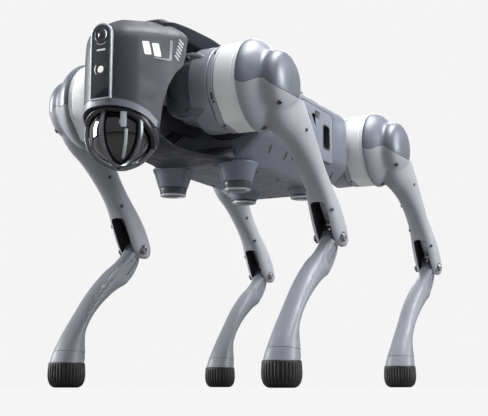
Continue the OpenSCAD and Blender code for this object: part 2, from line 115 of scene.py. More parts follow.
def feed(tree, node, values):
    """Sets a node's inputs: another node's output is linked, anything else is stored."""
    for key, value in values.items():
        if isinstance(value, bpy.types.NodeSocket):
            tree.links.new(value, node.inputs[key])
        else:
            node.inputs[key].default_value = value
    return node


def add(tree, kind, values=None, operation=None):
    node = tree.nodes.new("ShaderNode" + kind)
    if operation:
        node.operation = operation
    return feed(tree, node, values or {})


def new_material(name):
    mat = bpy.data.materials.new(name)
    mat.use_nodes = True
    return mat, mat.node_tree, mat.node_tree.nodes["Principled BSDF"]


def noise(tree, scale, detail, low, high, start=0.35, end=0.65, stretch=None):
    """A noise texture in object space, mapped from low to high. Scale is in features per metre."""
    source = add(tree, "TexCoord").outputs["Object"]
    if stretch:
        source = add(tree, "Mapping", {"Vector": source, "Scale": stretch}).outputs["Vector"]
    texture = add(tree, "TexNoise", {"Vector": source, "Scale": scale, "Detail": detail})
    ramp = add(tree, "MapRange", {"Value": texture.outputs["Fac"], "From Min": start, "From Max": end,
                                  "To Min": low, "To Max": high})
    return ramp.outputs["Result"]


def edge_mask(tree, radius):
    """0 on flat areas, rising to 1 on convex and concave edges within radius metres."""
    bevel = add(tree, "Bevel", {"Radius": radius})
    bevel.samples = 4
    geometry = add(tree, "NewGeometry")
    dot = add(tree, "VectorMath", {0: bevel.outputs["Normal"], 1: geometry.outputs["Normal"]}, "DOT_PRODUCT")
    ramp = add(tree, "MapRange", {"Value": dot.outputs["Value"], "From Min": 0.995, "From Max": 0.85})
    return ramp.outputs["Result"]


def scaled(tree, color, factor):
    return add(tree, "VectorMath", {0: color, "Scale": factor}, "SCALE").outputs["Vector"]


def product(tree, a, b):
    return add(tree, "Math", {0: a, 1: b}, "MULTIPLY").outputs["Value"]


def relief(tree, shader, strength, grain, start=0.35, end=0.65, stretch=None):
    """Fine bumps, a tenth of a millimetre high at full strength."""
    height = noise(tree, grain, 2.0, 0.0, 1.0, start, end, stretch)
    bump = add(tree, "Bump", {"Strength": strength, "Distance": 0.0001, "Height": height})
    feed(tree, shader, {"Normal": bump.outputs["Normal"]})


def surface(name, color, rough, metal=0.0, variation=0.06, grain=900.0, bump=0.02, rough_spread=0.08,
            wear=0.35, wear_color=None, coat=0.0, coat_rough=0.1, stretch=None, flake=0.0, specular=0.5):
    """Moulded or painted surface: blotchy tint, uneven gloss, fine grain and paler worn edges."""
    mat, tree, shader = new_material(name)
    paint = scaled(tree, color, noise(tree, 14.0, 3.0, 1 - variation, 1 + variation))
    if flake:
        paint = scaled(tree, paint, noise(tree, 5200.0, 1.0, 1 - flake, 1 + flake))
    if wear:
        patch = noise(tree, 160.0, 3.0, 0.2, 1.0)
        worn = product(tree, product(tree, edge_mask(tree, 0.0009), patch), wear)
        pale = wear_color or tuple(min(1.0, c * 1.5 + 0.06) for c in color)
        mix = add(tree, "Mix")
        mix.data_type = "RGBA"
        feed(tree, mix, {"Factor": worn, 6: paint, 7: (*pale, 1)})
        paint = mix.outputs[2]
    gloss = noise(tree, 60.0, 4.0, rough - rough_spread, rough + rough_spread)
    feed(tree, shader, {"Base Color": paint, "Roughness": gloss, "Metallic": metal, "Coat Weight": coat,
                        "Coat Roughness": coat_rough, "Specular IOR Level": specular})
    relief(tree, shader, min(1.0, bump * 10), grain, 0.2, 0.8, stretch)
    return mat


def clear_rim(name):
    """Frosted clear plastic that catches the light along its edge."""
    mat, tree, shader = new_material(name)
    feed(tree, shader, {"Roughness": noise(tree, 400.0, 3.0, 0.08, 0.22), "Base Color": (0.86, 0.88, 0.92, 1),
                        "Transmission Weight": 0.45, "IOR": 1.46})
    relief(tree, shader, 0.1, 700.0)
    return mat


def lamp_face(name):
    """White diffuser, slightly mottled, glowing a little."""
    mat, tree, shader = new_material(name)
    white = scaled(tree, (0.93, 0.94, 0.93), noise(tree, 300.0, 2.0, 0.85, 1.0))
    feed(tree, shader, {"Base Color": white, "Roughness": 0.25, "Emission Color": (1, 1, 0.97, 1),
                        "Emission Strength": 0.25})
    relief(tree, shader, 0.2, 900.0)
    return mat


# Polished dark cover: faint haze, dust in the roughness, hardly any grain.
GLASS = dict(variation=0.2, bump=0.003, rough_spread=0.02, wear=0.0, coat=1.0, coat_rough=0.02)

LOOKS = {
    "leg_shell": dict(color=(0.31, 0.317, 0.346), rough=0.52, variation=0.02, bump=0.012, grain=1600,
                      wear=0.08, flake=0.03, specular=0.35),
    "calf_grey": dict(color=(0.185, 0.193, 0.222), rough=0.46, metal=0.1, variation=0.02, bump=0.012,
                      grain=1600, wear=0.08, coat=0.05, coat_rough=0.35, flake=0.03, specular=0.4),
    "cap_slate": dict(color=(0.135, 0.147, 0.18), rough=0.42, metal=0.2, variation=0.03, bump=0.01,
                      grain=1800, wear=0.3, coat=0.1, coat_rough=0.35, flake=0.06),
    "slate_shell": dict(color=(0.037, 0.040, 0.052), rough=0.5, variation=0.03, bump=0.03, grain=2200,
                        wear=0.25, wear_color=(0.2, 0.21, 0.25), flake=0.03, specular=0.3),
    # Paler slate: a lit copy of slate_shell that paints light, namely the highlight along the hood's lower
    # edge and a recess's edges, and the strong light on the trunk's lower shell.
    "lip_slate": dict(color=(0.145, 0.155, 0.192), rough=0.45, metal=0.1, variation=0.03, bump=0.03,
                      grain=2200, wear=0.4, flake=0.05),
    "battery_grey": dict(color=(0.185, 0.197, 0.24), rough=0.5, metal=0.1, variation=0.03, bump=0.05,
                         grain=2400, wear=0.4),
    "ring_white": dict(color=(0.80, 0.81, 0.81), rough=0.42, metal=0.12, variation=0.02, bump=0.01,
                       grain=2600, wear=0.2, stretch=(1, 0.08, 1)),
    "bracket_grey": dict(color=(0.27, 0.285, 0.33), rough=0.38, metal=0.4, variation=0.04, bump=0.02,
                         grain=1800, wear=0.4, flake=0.06),
    "bracket_dark": dict(color=(0.135, 0.145, 0.172), rough=0.45, metal=0.3, variation=0.05, bump=0.04,
                         grain=1500, wear=0.5, wear_color=(0.4, 0.41, 0.44), flake=0.06),
    "band_grey": dict(color=(0.36, 0.375, 0.42), rough=0.4, metal=0.35, variation=0.03, bump=0.02,
                      grain=1800, wear=0.4, flake=0.05),
    "motor_black": dict(color=(0.055, 0.057, 0.065), rough=0.42, metal=0.5, variation=0.08, bump=0.04,
                        grain=1400, wear=0.5, wear_color=(0.3, 0.3, 0.32)),
    "steel": dict(color=(0.62, 0.62, 0.64), rough=0.24, metal=1.0, variation=0.05, bump=0.05, grain=3000,
                  wear=0.0, stretch=(1, 1, 12)),
    "dark_steel": dict(color=(0.10, 0.10, 0.11), rough=0.35, metal=0.9, variation=0.08, bump=0.05,
                       grain=2500, wear=0.4, wear_color=(0.5, 0.5, 0.52)),
    "inside_black": dict(color=(0.030, 0.031, 0.034), rough=0.6, variation=0.2, bump=0.05, wear=0.0),
    "face_black": dict(color=(0.018, 0.019, 0.022), rough=0.12, **GLASS),
    "dark_glass": dict(color=(0.006, 0.006, 0.008), rough=0.03, **GLASS),
    "guard_grey": dict(color=(0.13, 0.135, 0.15), rough=0.30, metal=0.5, variation=0.05, bump=0.02,
                       wear=0.5, wear_color=(0.45, 0.46, 0.49)),
    "guard_black": dict(color=(0.025, 0.025, 0.03), rough=0.28, variation=0.1, bump=0.03, wear=0.4,
                        wear_color=(0.25, 0.25, 0.27)),
    "rubber": dict(color=(0.012, 0.012, 0.013), rough=0.55, variation=0.25, bump=0.12, grain=1200,
                   rough_spread=0.12, wear=0.25, wear_color=(0.06, 0.06, 0.065), specular=0.35),
    "pad_grey": dict(color=(0.175, 0.19, 0.24), rough=0.36, metal=0.2, variation=0.04, bump=0.03,
                     grain=2000, wear=0.4),
    "pad_dark": dict(color=(0.07, 0.075, 0.095), rough=0.34, variation=0.05, bump=0.03, wear=0.3),
    "mark_white": dict(color=(0.78, 0.79, 0.80), rough=0.5, bump=0.03, wear=0.2),
    "mark_grey": dict(color=(0.42, 0.44, 0.49), rough=0.45, bump=0.03, wear=0.2),
    "aluminium": dict(color=(0.13, 0.135, 0.15), rough=0.5, metal=0.6, variation=0.08, bump=0.05,
                      wear=0.2, stretch=(1, 12, 1)),
    "board_green": dict(color=(0.015, 0.09, 0.045), rough=0.4, variation=0.25, bump=0.05, wear=0.2),
}
MATS = {name: surface(name, **look) for name, look in LOOKS.items()}
MATS["clear_rim"] = clear_rim("clear_rim")
MATS["lamp_white"] = lamp_face("lamp_white")


# ---------------------------------------------------------------- mesh tools

def put(point):
    return Vector(point) * MM


def new_object(name, mesh):
    obj = bpy.data.objects.new(name, mesh)
    bpy.context.scene.collection.objects.link(obj)
    return obj


def mesh_of(name, points, faces, material, sharp=30.0):
    """A new object from points in millimetres, with smooth faces and edges sharper than `sharp` kept."""
    mesh = bpy.data.meshes.new(name)
    mesh.from_pydata([put(p) for p in points], [], faces)
    bm = bmesh.new()
    bm.from_mesh(mesh)
    bmesh.ops.remove_doubles(bm, verts=bm.verts, dist=1e-6)
    bmesh.ops.recalc_face_normals(bm, faces=bm.faces)
    bm.to_mesh(mesh)
    bm.free()
    obj = new_object(name, mesh)
    obj.data.materials.append(MATS[material])
    shade(obj, sharp)
    return obj


def shade(obj, sharp=30.0):
    obj.data.polygons.foreach_set("use_smooth", [True] * len(obj.data.polygons))
    obj.data.set_sharp_from_angle(angle=math.radians(sharp))


def bake(obj):
    """Turns the object's modifiers into its own mesh."""
    graph = bpy.context.evaluated_depsgraph_get()
    mesh = bpy.data.meshes.new_from_object(obj.evaluated_get(graph))
    old = obj.data
    obj.modifiers.clear()
    obj.data = mesh
    bpy.data.meshes.remove(old)
    return obj


def remove(obj):
    mesh = obj.data
    bpy.data.objects.remove(obj)
    bpy.data.meshes.remove(mesh)


def mirror(mesh, x=1, y=1):
    """Flips a mesh over where x or y is -1."""
    mesh.transform(Matrix.Diagonal((x, y, 1, 1)))
    mesh.flip_normals()


def combine(obj, tool, operation):
    """Boolean of obj with tool; faces cut by the tool keep the tool's material."""
    step = obj.modifiers.new("cut", "BOOLEAN")
    step.operation = operation
    step.object = tool
    step.solver = "EXACT"
    step.material_mode = "TRANSFER"
    bake(obj)
    remove(tool)
    return obj


def cut(obj, *tools):
    for tool in tools:
        combine(obj, tool, "DIFFERENCE")
    shade(obj)
    return obj


def bevel(obj, width, segments=2):
    step = obj.modifiers.new("bevel", "BEVEL")
    step.width = width * MM
    step.segments = segments
    step.limit_method = "ANGLE"
    step.angle_limit = math.radians(35)
    step.use_clamp_overlap = True
    bake(obj)
    shade(obj)
    return obj


def join(name, parts):
    """One object from several; materials are kept."""
    mesh = bpy.data.meshes.new(name)
    slots = []
    bm = bmesh.new()
    for part in parts:
        lookup = []
        for mat in part.data.materials:
            if mat not in slots:
                slots.append(mat)
            lookup.append(slots.index(mat))
        first = len(bm.faces)
        bm.from_mesh(part.data)
        bm.faces.ensure_lookup_table()
        for face in bm.faces[first:]:
            face.material_index = lookup[face.material_index]
    bm.to_mesh(mesh)
    bm.free()
    for mat in slots:
        mesh.materials.append(mat)
    for part in parts:
        remove(part)
    obj = new_object(name, mesh)
    shade(obj)
    return obj


def repaint(obj, material):
    """One material all over."""
    obj.data.materials.clear()
    obj.data.materials.append(MATS[material])


def fuse(name, parts, voxel, rounds, material):
    """Closed parts melted into one skin, with every inner corner softly filled."""
    obj = join(name, parts)
    step = obj.modifiers.new("skin", "REMESH")
    step.mode = "VOXEL"
    step.voxel_size = voxel * MM
    step = obj.modifiers.new("soften", "SMOOTH")
    step.factor = 0.5
    step.iterations = rounds
    bake(obj)
    repaint(obj, material)
    shade(obj, 60)
    return obj


def soften(points, radius, closed=False, steps=4):
    """The outline with its corners rounded."""
    out = []
    count = len(points)
    for i, raw in enumerate(points):
        if not closed and i in (0, count - 1):
            out.append(tuple(raw))
            continue
        p = Vector(raw)
        back = Vector(points[i - 1]) - p
        ahead = Vector(points[(i + 1) % count]) - p
        start = p + back.normalized() * min(radius, back.length * 0.45)
        end = p + ahead.normalized() * min(radius, ahead.length * 0.45)
        for k in range(steps + 1):
            t = k / steps
            out.append(tuple(start * (1 - t) ** 2 + p * 2 * t * (1 - t) + end * t * t))
    return out


def along(axis, t, u, v):
    """A point at t along an axis, with u and v across it."""
    return {"X": (t, u, v), "Y": (u, t, v), "Z": (u, v, t)}[axis]


def revolve(name, profile, material="inside_black", axis="Y", centre=(0, 0, 0), steps=96, shape=None,
            sharp=30.0):
    """Turns (radius, place) pairs about an axis. shape(angle, radius) may bend the circle."""
    points, faces, rows = [], [], []
    for radius, place in profile:
        if radius < 1e-6:
            rows.append([len(points)])
            points.append(Vector(along(axis, place, 0, 0)) + Vector(centre))
            continue
        row = []
        for k in range(steps):
            a = 2 * math.pi * k / steps
            r = shape(a, radius) if shape else radius
            row.append(len(points))
            points.append(Vector(along(axis, place, r * math.cos(a), r * math.sin(a))) + Vector(centre))
        rows.append(row)
    for low, high in zip(rows, rows[1:]):
        for k in range(steps):
            corners = [low[k % len(low)], low[(k + 1) % len(low)]]
            corners += [high[(k + 1) % len(high)], high[k % len(high)]]
            face = list(dict.fromkeys(corners))
            if len(face) > 2:
                faces.append(face)
    return mesh_of(name, points, faces, material, sharp)


def rod(name, radius, low, high, material="inside_black", **rest):
    """A plain cylinder from low to high along its axis."""
    return revolve(name, [(0, low), (radius, low), (radius, high), (0, high)], material, **rest)


def tube(name, profile, material, **rest):
    """A revolved closed loop of (radius, place) pairs, such as a ring with a hole."""
    return revolve(name, list(profile) + [profile[0]], material, **rest)


def prism(name, low_ring, high_ring, material):
    """A body between two outlines with the same number of points."""
    count = len(low_ring)
    faces = [list(range(count))[::-1], list(range(count, 2 * count))]
    faces += [[k, (k + 1) % count, count + (k + 1) % count, count + k] for k in range(count)]
    return mesh_of(name, low_ring + high_ring, faces, material)


def slab(name, outline, low, high, material="inside_black", axis="Y", edge=0.0, segments=2):
    """A flat outline given thickness from low to high along an axis."""
    rings = [[along(axis, t, u, v) for u, v in outline] for t in (low, high)]
    obj = prism(name, *rings, material)
    return bevel(obj, edge, segments) if edge else obj


def rounded_box(cu, cv, width, height, radius):
    half_w, half_h = width / 2, height / 2
    corners = [(cu - half_w, cv - half_h), (cu + half_w, cv - half_h),
               (cu + half_w, cv + half_h), (cu - half_w, cv + half_h)]
    return soften(corners, radius, closed=True)


def arc(cu, cv, radius, start, end, steps):
    """Points on a circle from start to end, in degrees."""
    angles = [math.radians(start + (end - start) * k / steps) for k in range(steps + 1)]
    return [(cu + radius * math.cos(a), cv + radius * math.sin(a)) for a in angles]


def circle(cu, cv, radius, steps):
    return arc(cu, cv, radius, 0, 360, steps)[:-1]


def mirrored(right):
    """A closed outline from its right half, read from the bottom up."""
    return right + [(-u, v) for u, v in reversed(right)]


def loft(name, rings, material="inside_black", sharp=30.0):
    """Skin over closed rings of equal length, with both ends filled."""
    count = len(rings[0])
    points = [p for ring in rings for p in ring]
    faces = []
    for r in range(len(rings) - 1):
        for k in range(count):
            a, b = r * count + k, r * count + (k + 1) % count
            faces.append([a, b, b + count, a + count])
    faces.append(list(range(count))[::-1])
    faces.append([len(points) - count + k for k in range(count)])
    return mesh_of(name, points, faces, material, sharp)


def smooth_rows(rows, steps):
    """Rows of numbers joined by a Catmull-Rom curve, with `steps` rows for each gap."""
    out = []
    for i in range(len(rows) - 1):
        a, b, c, d = rows[max(i - 1, 0)], rows[i], rows[i + 1], rows[min(i + 2, len(rows) - 1)]
        for k in range(steps):
            t = k / steps
            out.append([0.5 * (2 * q + (r - p) * t + (2 * p - 5 * q + 4 * r - s) * t * t
                               + (3 * q - p - 3 * r + s) * t ** 3) for p, q, r, s in zip(a, b, c, d)])
    out.append(list(rows[-1]))
    return out


def beam(name, rows, steps, section, material="slate_shell", sharp=40):
    """A body along X: each row is x and then the numbers that section() turns into (y, z) points."""
    rings = [[(x, y, z) for y, z in section(*sizes)] for x, *sizes in smooth_rows(rows, steps)]
    return loft(name, rings, material, sharp)


def value_at(rows, x):
    """Straight-line reading of (x, y) rows."""
    for (x0, y0), (x1, y1) in zip(rows, rows[1:]):
        if x <= x1:
            return y0 + (y1 - y0) * max(0.0, (x - x0)) / (x1 - x0)
    return rows[-1][1]


def squared(a, power):
    """Direction at angle a on a curve between a circle (power 2) and a square (high power)."""
    c, s = math.cos(a), math.sin(a)
    return math.copysign(abs(c) ** (2 / power), c), math.copysign(abs(s) ** (2 / power), s)


def oval(front, rear, y_mid, half_y, power, count=48):
    """A rounded section between a front and a rear point of the side view."""
    middle, reach = (Vector(front) + Vector(rear)) / 2, (Vector(front) - Vector(rear)) / 2
    ring = []
    for k in range(count):
        u, v = squared(2 * math.pi * k / count, power)
        ring.append((middle.x + reach.x * u, y_mid + half_y * v, middle.y + reach.y * u))
    return ring


def bolt(name, centre, out, radius, height, axis="Y", material="steel"):
    """A cap screw whose head stands on `centre` and points along +axis or -axis by the sign of out."""
    sign = 1 if out > 0 else -1
    chamfer = min(0.35 * height, 0.2 * radius)
    profile = [(0, -0.5), (radius, -0.5), (radius, height - chamfer), (radius - chamfer, height),
               (radius * 0.52, height), (radius * 0.468, height * 0.3), (0, height * 0.3)]
    head = revolve(name, [(r, sign * place) for r, place in profile], material, axis, centre, 24)
    floor = sign * height * 0.32
    return join(name, [head, revolve(name + "_hex", [(0, floor), (radius * 0.5, floor)], axis=axis,
                                     centre=centre, steps=6)])


def skin_of(obj):
    """Something rays can be cast at, for placing screws and marks on a finished shape."""
    bm = bmesh.new()
    bm.from_mesh(obj.data)
    tree = BVHTree.FromBMesh(bm)
    bm.free()
    return tree


def screw_on(skin, start, aim, radius, height):
    """A screw where the ray from start to aim meets the skin, standing square to it."""
    place, normal, *_ = skin.ray_cast(put(start), put(aim) - put(start))
    head = bolt("screw", (0, 0, -0.3), 1, radius, height + 0.3, "Z", "dark_steel")
    turn = normal.to_track_quat("Z", "Y").to_matrix().to_4x4()
    head.data.transform(Matrix.Translation(place) @ turn)
    return head


def finish_piece(obj, body, nodes=()):
    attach(obj, body)
    if nodes:
        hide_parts(*nodes)
    return obj


def trunk_piece(obj, nodes=(), body="trunk"):
    """Moves a piece drawn about the hips' middle into place."""
    obj.data.transform(Matrix.Translation((MID_X * MM, 0, 0)))
    return finish_piece(obj, body, nodes)


# ---------------------------------------------------------------- leg shapes, about the thigh axis

KNEE_XZ = Vector((KNEE.x, KNEE.z))
THIGH_LINE = KNEE_XZ.normalized()
ANKLE_Z = 20.0
CALF_LINE = (Vector((FOOT_X, ANKLE_Z - HIP_Z)) - KNEE_XZ).normalized()
KNEE_AT = (KNEE.x, LEG_Y, KNEE.z)


def on_line(line, s, p):
    """Side-view point s along a line and p in front of it."""
    return line * s + Vector((-line.y, line.x)) * p


def on_thigh(s, p):
    return on_line(THIGH_LINE, s, p)


def on_calf(s, p):
    return KNEE_XZ + on_line(CALF_LINE, s, p)


HOUSING = [(53, RING_OUT + 0.5), (53.6, RING_OUT + 2.5), (53.2, 117), (51.4, 121.5), (48, 126.5), (43.5, 131),
           (39.4, 134.8), (37.4, 138), (37.1, 142), (36.6, 146), (34.6, 150.5), (30, 154.5), (22, 158),
           (11, 159.8), (0, 160.2)]


def housing(name, material):
    """The barrel with two lobes that holds the knee motor."""
    profile = [(0, RING_OUT + 0.5)] + [(max(0.0, r), min(y, LOBE_OUT)) for r, y in smooth_rows(HOUSING, 3)]
    return revolve(name, profile, material, sharp=50)


def seam_tool(name, gap):
    """Solid above the seam between cap and thigh; the seam dips across the outer lobe."""
    line = soften([(90, -2), (108, -3), (119, -9), (126, -8), (134, -2.5), (140, -2.5), (147, -9), (154, -14),
                   (162, -18), (175, -20)], 4)
    outline = [(y, z + gap) for y, z in line] + [(175, 90), (90, 90)]
    return slab(name, outline, -70, 70, axis="X")


def fork_arch():
    """Block that rounds the upper corners of the fork's window, seen from the front."""
    rings = []
    for p, top in ((-26, 192), (-20, 162), (-10, 149.5), (-1, 151.5), (6, 160), (31, 175)):
        arch = soften([(-10.2, 260), (-10.2, top), (10.2, top), (10.2, 260)], 9.1, steps=6)
        rings.append([(on_thigh(s, p).x, LEG_Y + y, on_thigh(s, p).y) for y, s in arch])
    return loft("fork_arch", rings)


THIGH_ROWS = [
    # s front, p front, s rear, p rear, y middle, half thickness, squareness
    [2, 34, 2, -33, 137, 19, 2.4],
    [22, 36, 22, -33.5, 136.5, 20, 2.4],
    [42, 31.5, 40, -32.5, 137, 20, 2.4],
    [60, 22, 58, -30.5, 139, 18, 2.5],
    [80, 14, 80, -28.5, 141, 15.5, 2.6],
    [105, 7.5, 105, -26.5, 142, 14.3, 2.7],
    [130, 4, 130, -25.8, 142, 14, 2.8],
    [150, 3.5, 150, -26.3, 142, 15, 3.0],
    [168, 6, 168, -27.6, 142, 16.4, 3.2],
    [186, 9.5, 186, -28.3, 142, 17.4, 3.2],
    [202, 11.8, 202, -27.6, 142, 17.7, 3.2],
    [215, 10.5, 217, -25.2, 142, 17.6, 3.0],
    [224, 5, 227, -21, 142, 16.8, 2.8],
    [230, -2, 232, -15, 142, 14.5, 2.5],
    [232.6, -6, 233, -11, 142, 11, 2.2],
]


def thigh_shell():
    rings = [oval(on_thigh(*r[0:2]), on_thigh(*r[2:4]), *r[4:]) for r in smooth_rows(THIGH_ROWS, 4)]
    skin = fuse("thigh_shell", [loft("thigh_loft", rings, "leg_shell"), housing("thigh_barrel", "leg_shell")],
                1.25, 9, "leg_shell")
    cut(skin, seam_tool("seam", 0.0))
    # room for the knee motor, the crank and the rod
    motor = [(0, RING_OUT - 2), (30, RING_OUT - 2), (30, RING_OUT + 4), (48, RING_OUT + 4), (48, 122),
             (36, 127.5), (0, 127.5)]
    cut(skin, revolve("motor_room", motor, steps=48))
    cut(skin, rod("crank_room", 27, 126, 149.5, steps=48))
    rod_room = [tuple(on_thigh(s, p)) for s, p in ((-4, -25), (-4, 14), (30, 8), (170, 1), (170, -24))]
    cut(skin, slab("rod_room", rod_room, LEG_Y - 6, LEG_Y + 6))
    # fork for the calf's tongue, open in front and below
    window = [(147, -10), (149, -1), (158, 6), (172, 30), (250, 30), (250, -18), (219, -24.4), (190, -24.4),
              (160, -20)]
    outline = soften([tuple(on_thigh(s, p)) for s, p in window], 5, closed=True)
    return cut(skin, combine(slab("fork", outline, LEG_Y - 10, LEG_Y + 10), fork_arch(), "INTERSECT"))


def thigh_trim(thigh):
    """Screws on the thigh's front and on both of its faces."""
    skin = skin_of(thigh)
    parts = []
    for s, y, radius in ((8, 151, 3.0), (36, 123.5, 3.2)):
        start, aim = on_thigh(s, 90), on_thigh(s, 0)
        parts.append(screw_on(skin, (start.x, y, start.y), (aim.x, y, aim.y), radius, 1.4))
    for s, out in ((98, -1), (143, -1), (62, 1), (172, 1)):
        start, aim = on_thigh(s, 30), on_thigh(s, -12)
        parts.append(screw_on(skin, (start.x, LEG_Y + 45 * out, start.y), (aim.x, LEG_Y, aim.y), 2.4, 1.2))
    return join("thigh_screws", parts)


def knee_bolts():
    parts = [rod("pin", 5, -17.5, 17.5, "steel", centre=KNEE_AT, steps=32)]
    for out in (-1, 1):
        washer = [(r, out * y) for r, y in soften([(0, 17), (6.3, 17), (6.3, 18.2), (0, 18.4)], 0.4)]
        parts.append(revolve("washer", washer, "dark_steel", centre=KNEE_AT, steps=40))
        parts.append(bolt("head", (KNEE.x, LEG_Y + out * 18.2, KNEE.z), out, 4.4, 2.4))
    return join("knee_bolts", parts)


def shoulder_cap():
    cap = housing("shoulder_cap", "cap_slate")
    combine(cap, seam_tool("cap_keep", 0.6), "INTERSECT")
    repaint(cap, "cap_slate")
    room = [(0, RING_OUT), (48.5, RING_OUT), (48.5, 120), (37, 127), (29, 128), (28, 151), (0, 151)]
    cut(cap, revolve("cap_room", room, steps=64))
    shade(cap, 40)
    return cap


# The pale band between the hip bracket and the motor ring, in distance from the trunk's middle plane.
BAND_IN = 76.0
BAND_OUT = 83.5


def ring_facet(angle, radius):
    """Round above, with two flats across the lower front."""
    degrees = (math.degrees(angle) + 180) % 360 - 180
    half = 20
    for middle in (-42, -82):
        if abs(degrees - middle) <= half:
            return radius * math.cos(math.radians(half)) / math.cos(math.radians(degrees - middle))
    return radius


def ring_facet_soft(angle, radius):
    spread = math.radians(2.5)
    return sum(ring_facet(angle + k * spread, radius) for k in (-1, 0, 1)) / 3


def motor_ring():
    start = BAND_OUT + 0.5
    profile = soften([(30, start), (50, start), (51, start + 1), (51, RING_OUT - 6.4), (50.4, RING_OUT - 6),
                      (50.4, RING_OUT - 5.4), (51, RING_OUT - 5), (51, RING_OUT - 0.8), (50.2, RING_OUT),
                      (30, RING_OUT)], 0.5, steps=2)
    return tube("motor_ring", profile, "ring_white", steps=180, shape=ring_facet_soft)


def ring_marks():
    """Dark slots round the motor ring's inner edge."""
    parts = []
    for degrees, length in ((40, 5), (-22, 8), (-30, 3), (-70, 6), (100, 5), (160, 6), (-130, 6)):
        a = math.radians(degrees)
        r = ring_facet_soft(a, 51)
        centre = Vector((r * math.cos(a), BAND_OUT - 2.6, r * math.sin(a)))
        plate = slab("slot", rounded_box(0, 0, 2.2, length, 0.9), -0.8, 0.35, axis="X")
        plate.data.transform(Matrix.Translation(put(centre)) @ Matrix.Rotation(-a, 4, "Y"))
        parts.append(plate)
    return join("ring_slots", parts)


SWING_AT = (0, SWING_Y, 0)


def hip_elbow(fore):
    """Swept bracket: a barrel round the thigh motor melted into the drum on the swing axis."""
    look = "bracket_grey"
    end = BAND_IN - 0.6
    barrel = soften([(0, 50.5), (46, 50.5), (50, 51.5), (49.8, 66), (49.4, end), (0, end)], 1.0)
    drum = soften([(0, -49), (30, -49), (40, -40), (40, 30), (34, 39), (0, 39)], 4)
    neck = soften([(0, 14), (28, 14), (37, 26), (37, 54), (0, 54)], 4)
    block = soften([(14, -20), (58, -20), (56, -38), (36, -39.5), (22, -32)], 5, closed=True)
    parts = [
        revolve("barrel", barrel, look),
        revolve("drum", drum, look, "X", SWING_AT),
        revolve("neck", neck, look),
        slab("block", block, 2, 38, look, "X"),
    ]
    body = fuse("hip_elbow", parts, 1.1, 3, look)
    if fore < 0:
        mirror(body.data, x=-1)
    return body


def hip_band():
    profile = soften([(34, BAND_IN), (50.2, BAND_IN), (50.6, BAND_IN + 1), (50.6, BAND_OUT - 0.8),
                      (50, BAND_OUT), (34, BAND_OUT)], 0.5, steps=2)
    return tube("hip_band", profile, "band_grey", steps=180, shape=ring_facet_soft)


def hip_cover(fore):
    """Dark front cover of the swing joint, with a stepped rim and screws."""
    profile = [(0, 43.5), (22, 43.5), (26, 41.6), (34, 40.8), (37.4, 39), (38.6, 35), (38, 28), (0, 28)]
    parts = [revolve("cover", soften(profile, 1.2), "bracket_dark", axis="X", centre=SWING_AT)]
    for y, z in arc(SWING_Y, 0, 30, 30, 330, 5):
        parts.append(bolt("cover_screw", (41.0, y, z), 1, 2.2, 0.9, "X", "dark_steel"))
    cover = join("hip_cover", parts)
    if fore < 0:
        mirror(cover.data, x=-1)
    return cover


CALF_ROWS = [
    # s front, p front, s rear, p rear, half thickness, squareness
    [-9.2, 3, -9.2, -3, 9.2, 3.4],
    [-7, 6.5, -7, -6.8, 9.6, 3.4],
    [0, 9.4, 0, -10.5, 9.7, 3.4],
    [15, 9, 12, -16.0, 9.7, 3.2],
    [30, 11.5, 29, -17.4, 9.8, 3.2],
    [46, 15.8, 43, -15.6, 10.6, 3.0],
    [60, 20, 56, -11.2, 13.4, 2.6],
    [80, 24, 72, -3, 14.0, 2.4],
    [100, 27, 92, 4.5, 13.8, 2.3],
    [122, 28.6, 114, 10.8, 13.2, 2.3],
    [145, 28.8, 134, 14, 12.8, 2.3],
    [163, 28.6, 150, 14.5, 13.2, 2.4],
    [177, 28.2, 163, 12, 14.2, 2.4],
    [191, 27.0, 173, 5, 15.8, 2.5],
    [203, 24.7, 183, -2.5, 17.8, 2.6],
    [212, 22, 189, -6.4, 19, 2.6],
    [217.6, 20.2, 193.4, -7.2, 19.5, 2.6],
]
# The calf's collar, which starts at this row, stands a hair below the rest and leaves a seam.
COLLAR_ROW = 14
SEAM = 0.55


def calf_loft(name, first, last):
    """The calf between two of its rows."""
    steps = 5
    rows = smooth_rows(CALF_ROWS, steps)[first * steps:last * steps + 1]
    rings = [oval(on_calf(*r[0:2]), on_calf(*r[2:4]), LEG_Y, *r[4:]) for r in rows]
    return loft(name, rings, "calf_grey", sharp=50)


def calf_shell():
    upper = calf_loft("calf_upper", 0, COLLAR_ROW)
    lower = calf_loft("calf_lower", COLLAR_ROW, len(CALF_ROWS) - 1)
    shift = CALF_LINE * SEAM
    lower.data.transform(Matrix.Translation(put((shift.x, 0, shift.y))))
    triangle = [(10, -8), (12, 3), (40, 8.5), (52, 4), (46, -3)]
    outline = soften([tuple(on_calf(s, p)) for s, p in triangle], 4, closed=True)
    for low, high in ((LEG_Y - 20.4, LEG_Y - 8.4), (LEG_Y + 8.4, LEG_Y + 20.4)):
        cut(upper, slab("tongue_recess", outline, low, high, "calf_grey"))
    cut(upper, rod("bore", 5.2, -20, 20, centre=KNEE_AT, steps=32))
    return join("calf_shell", [upper, lower])


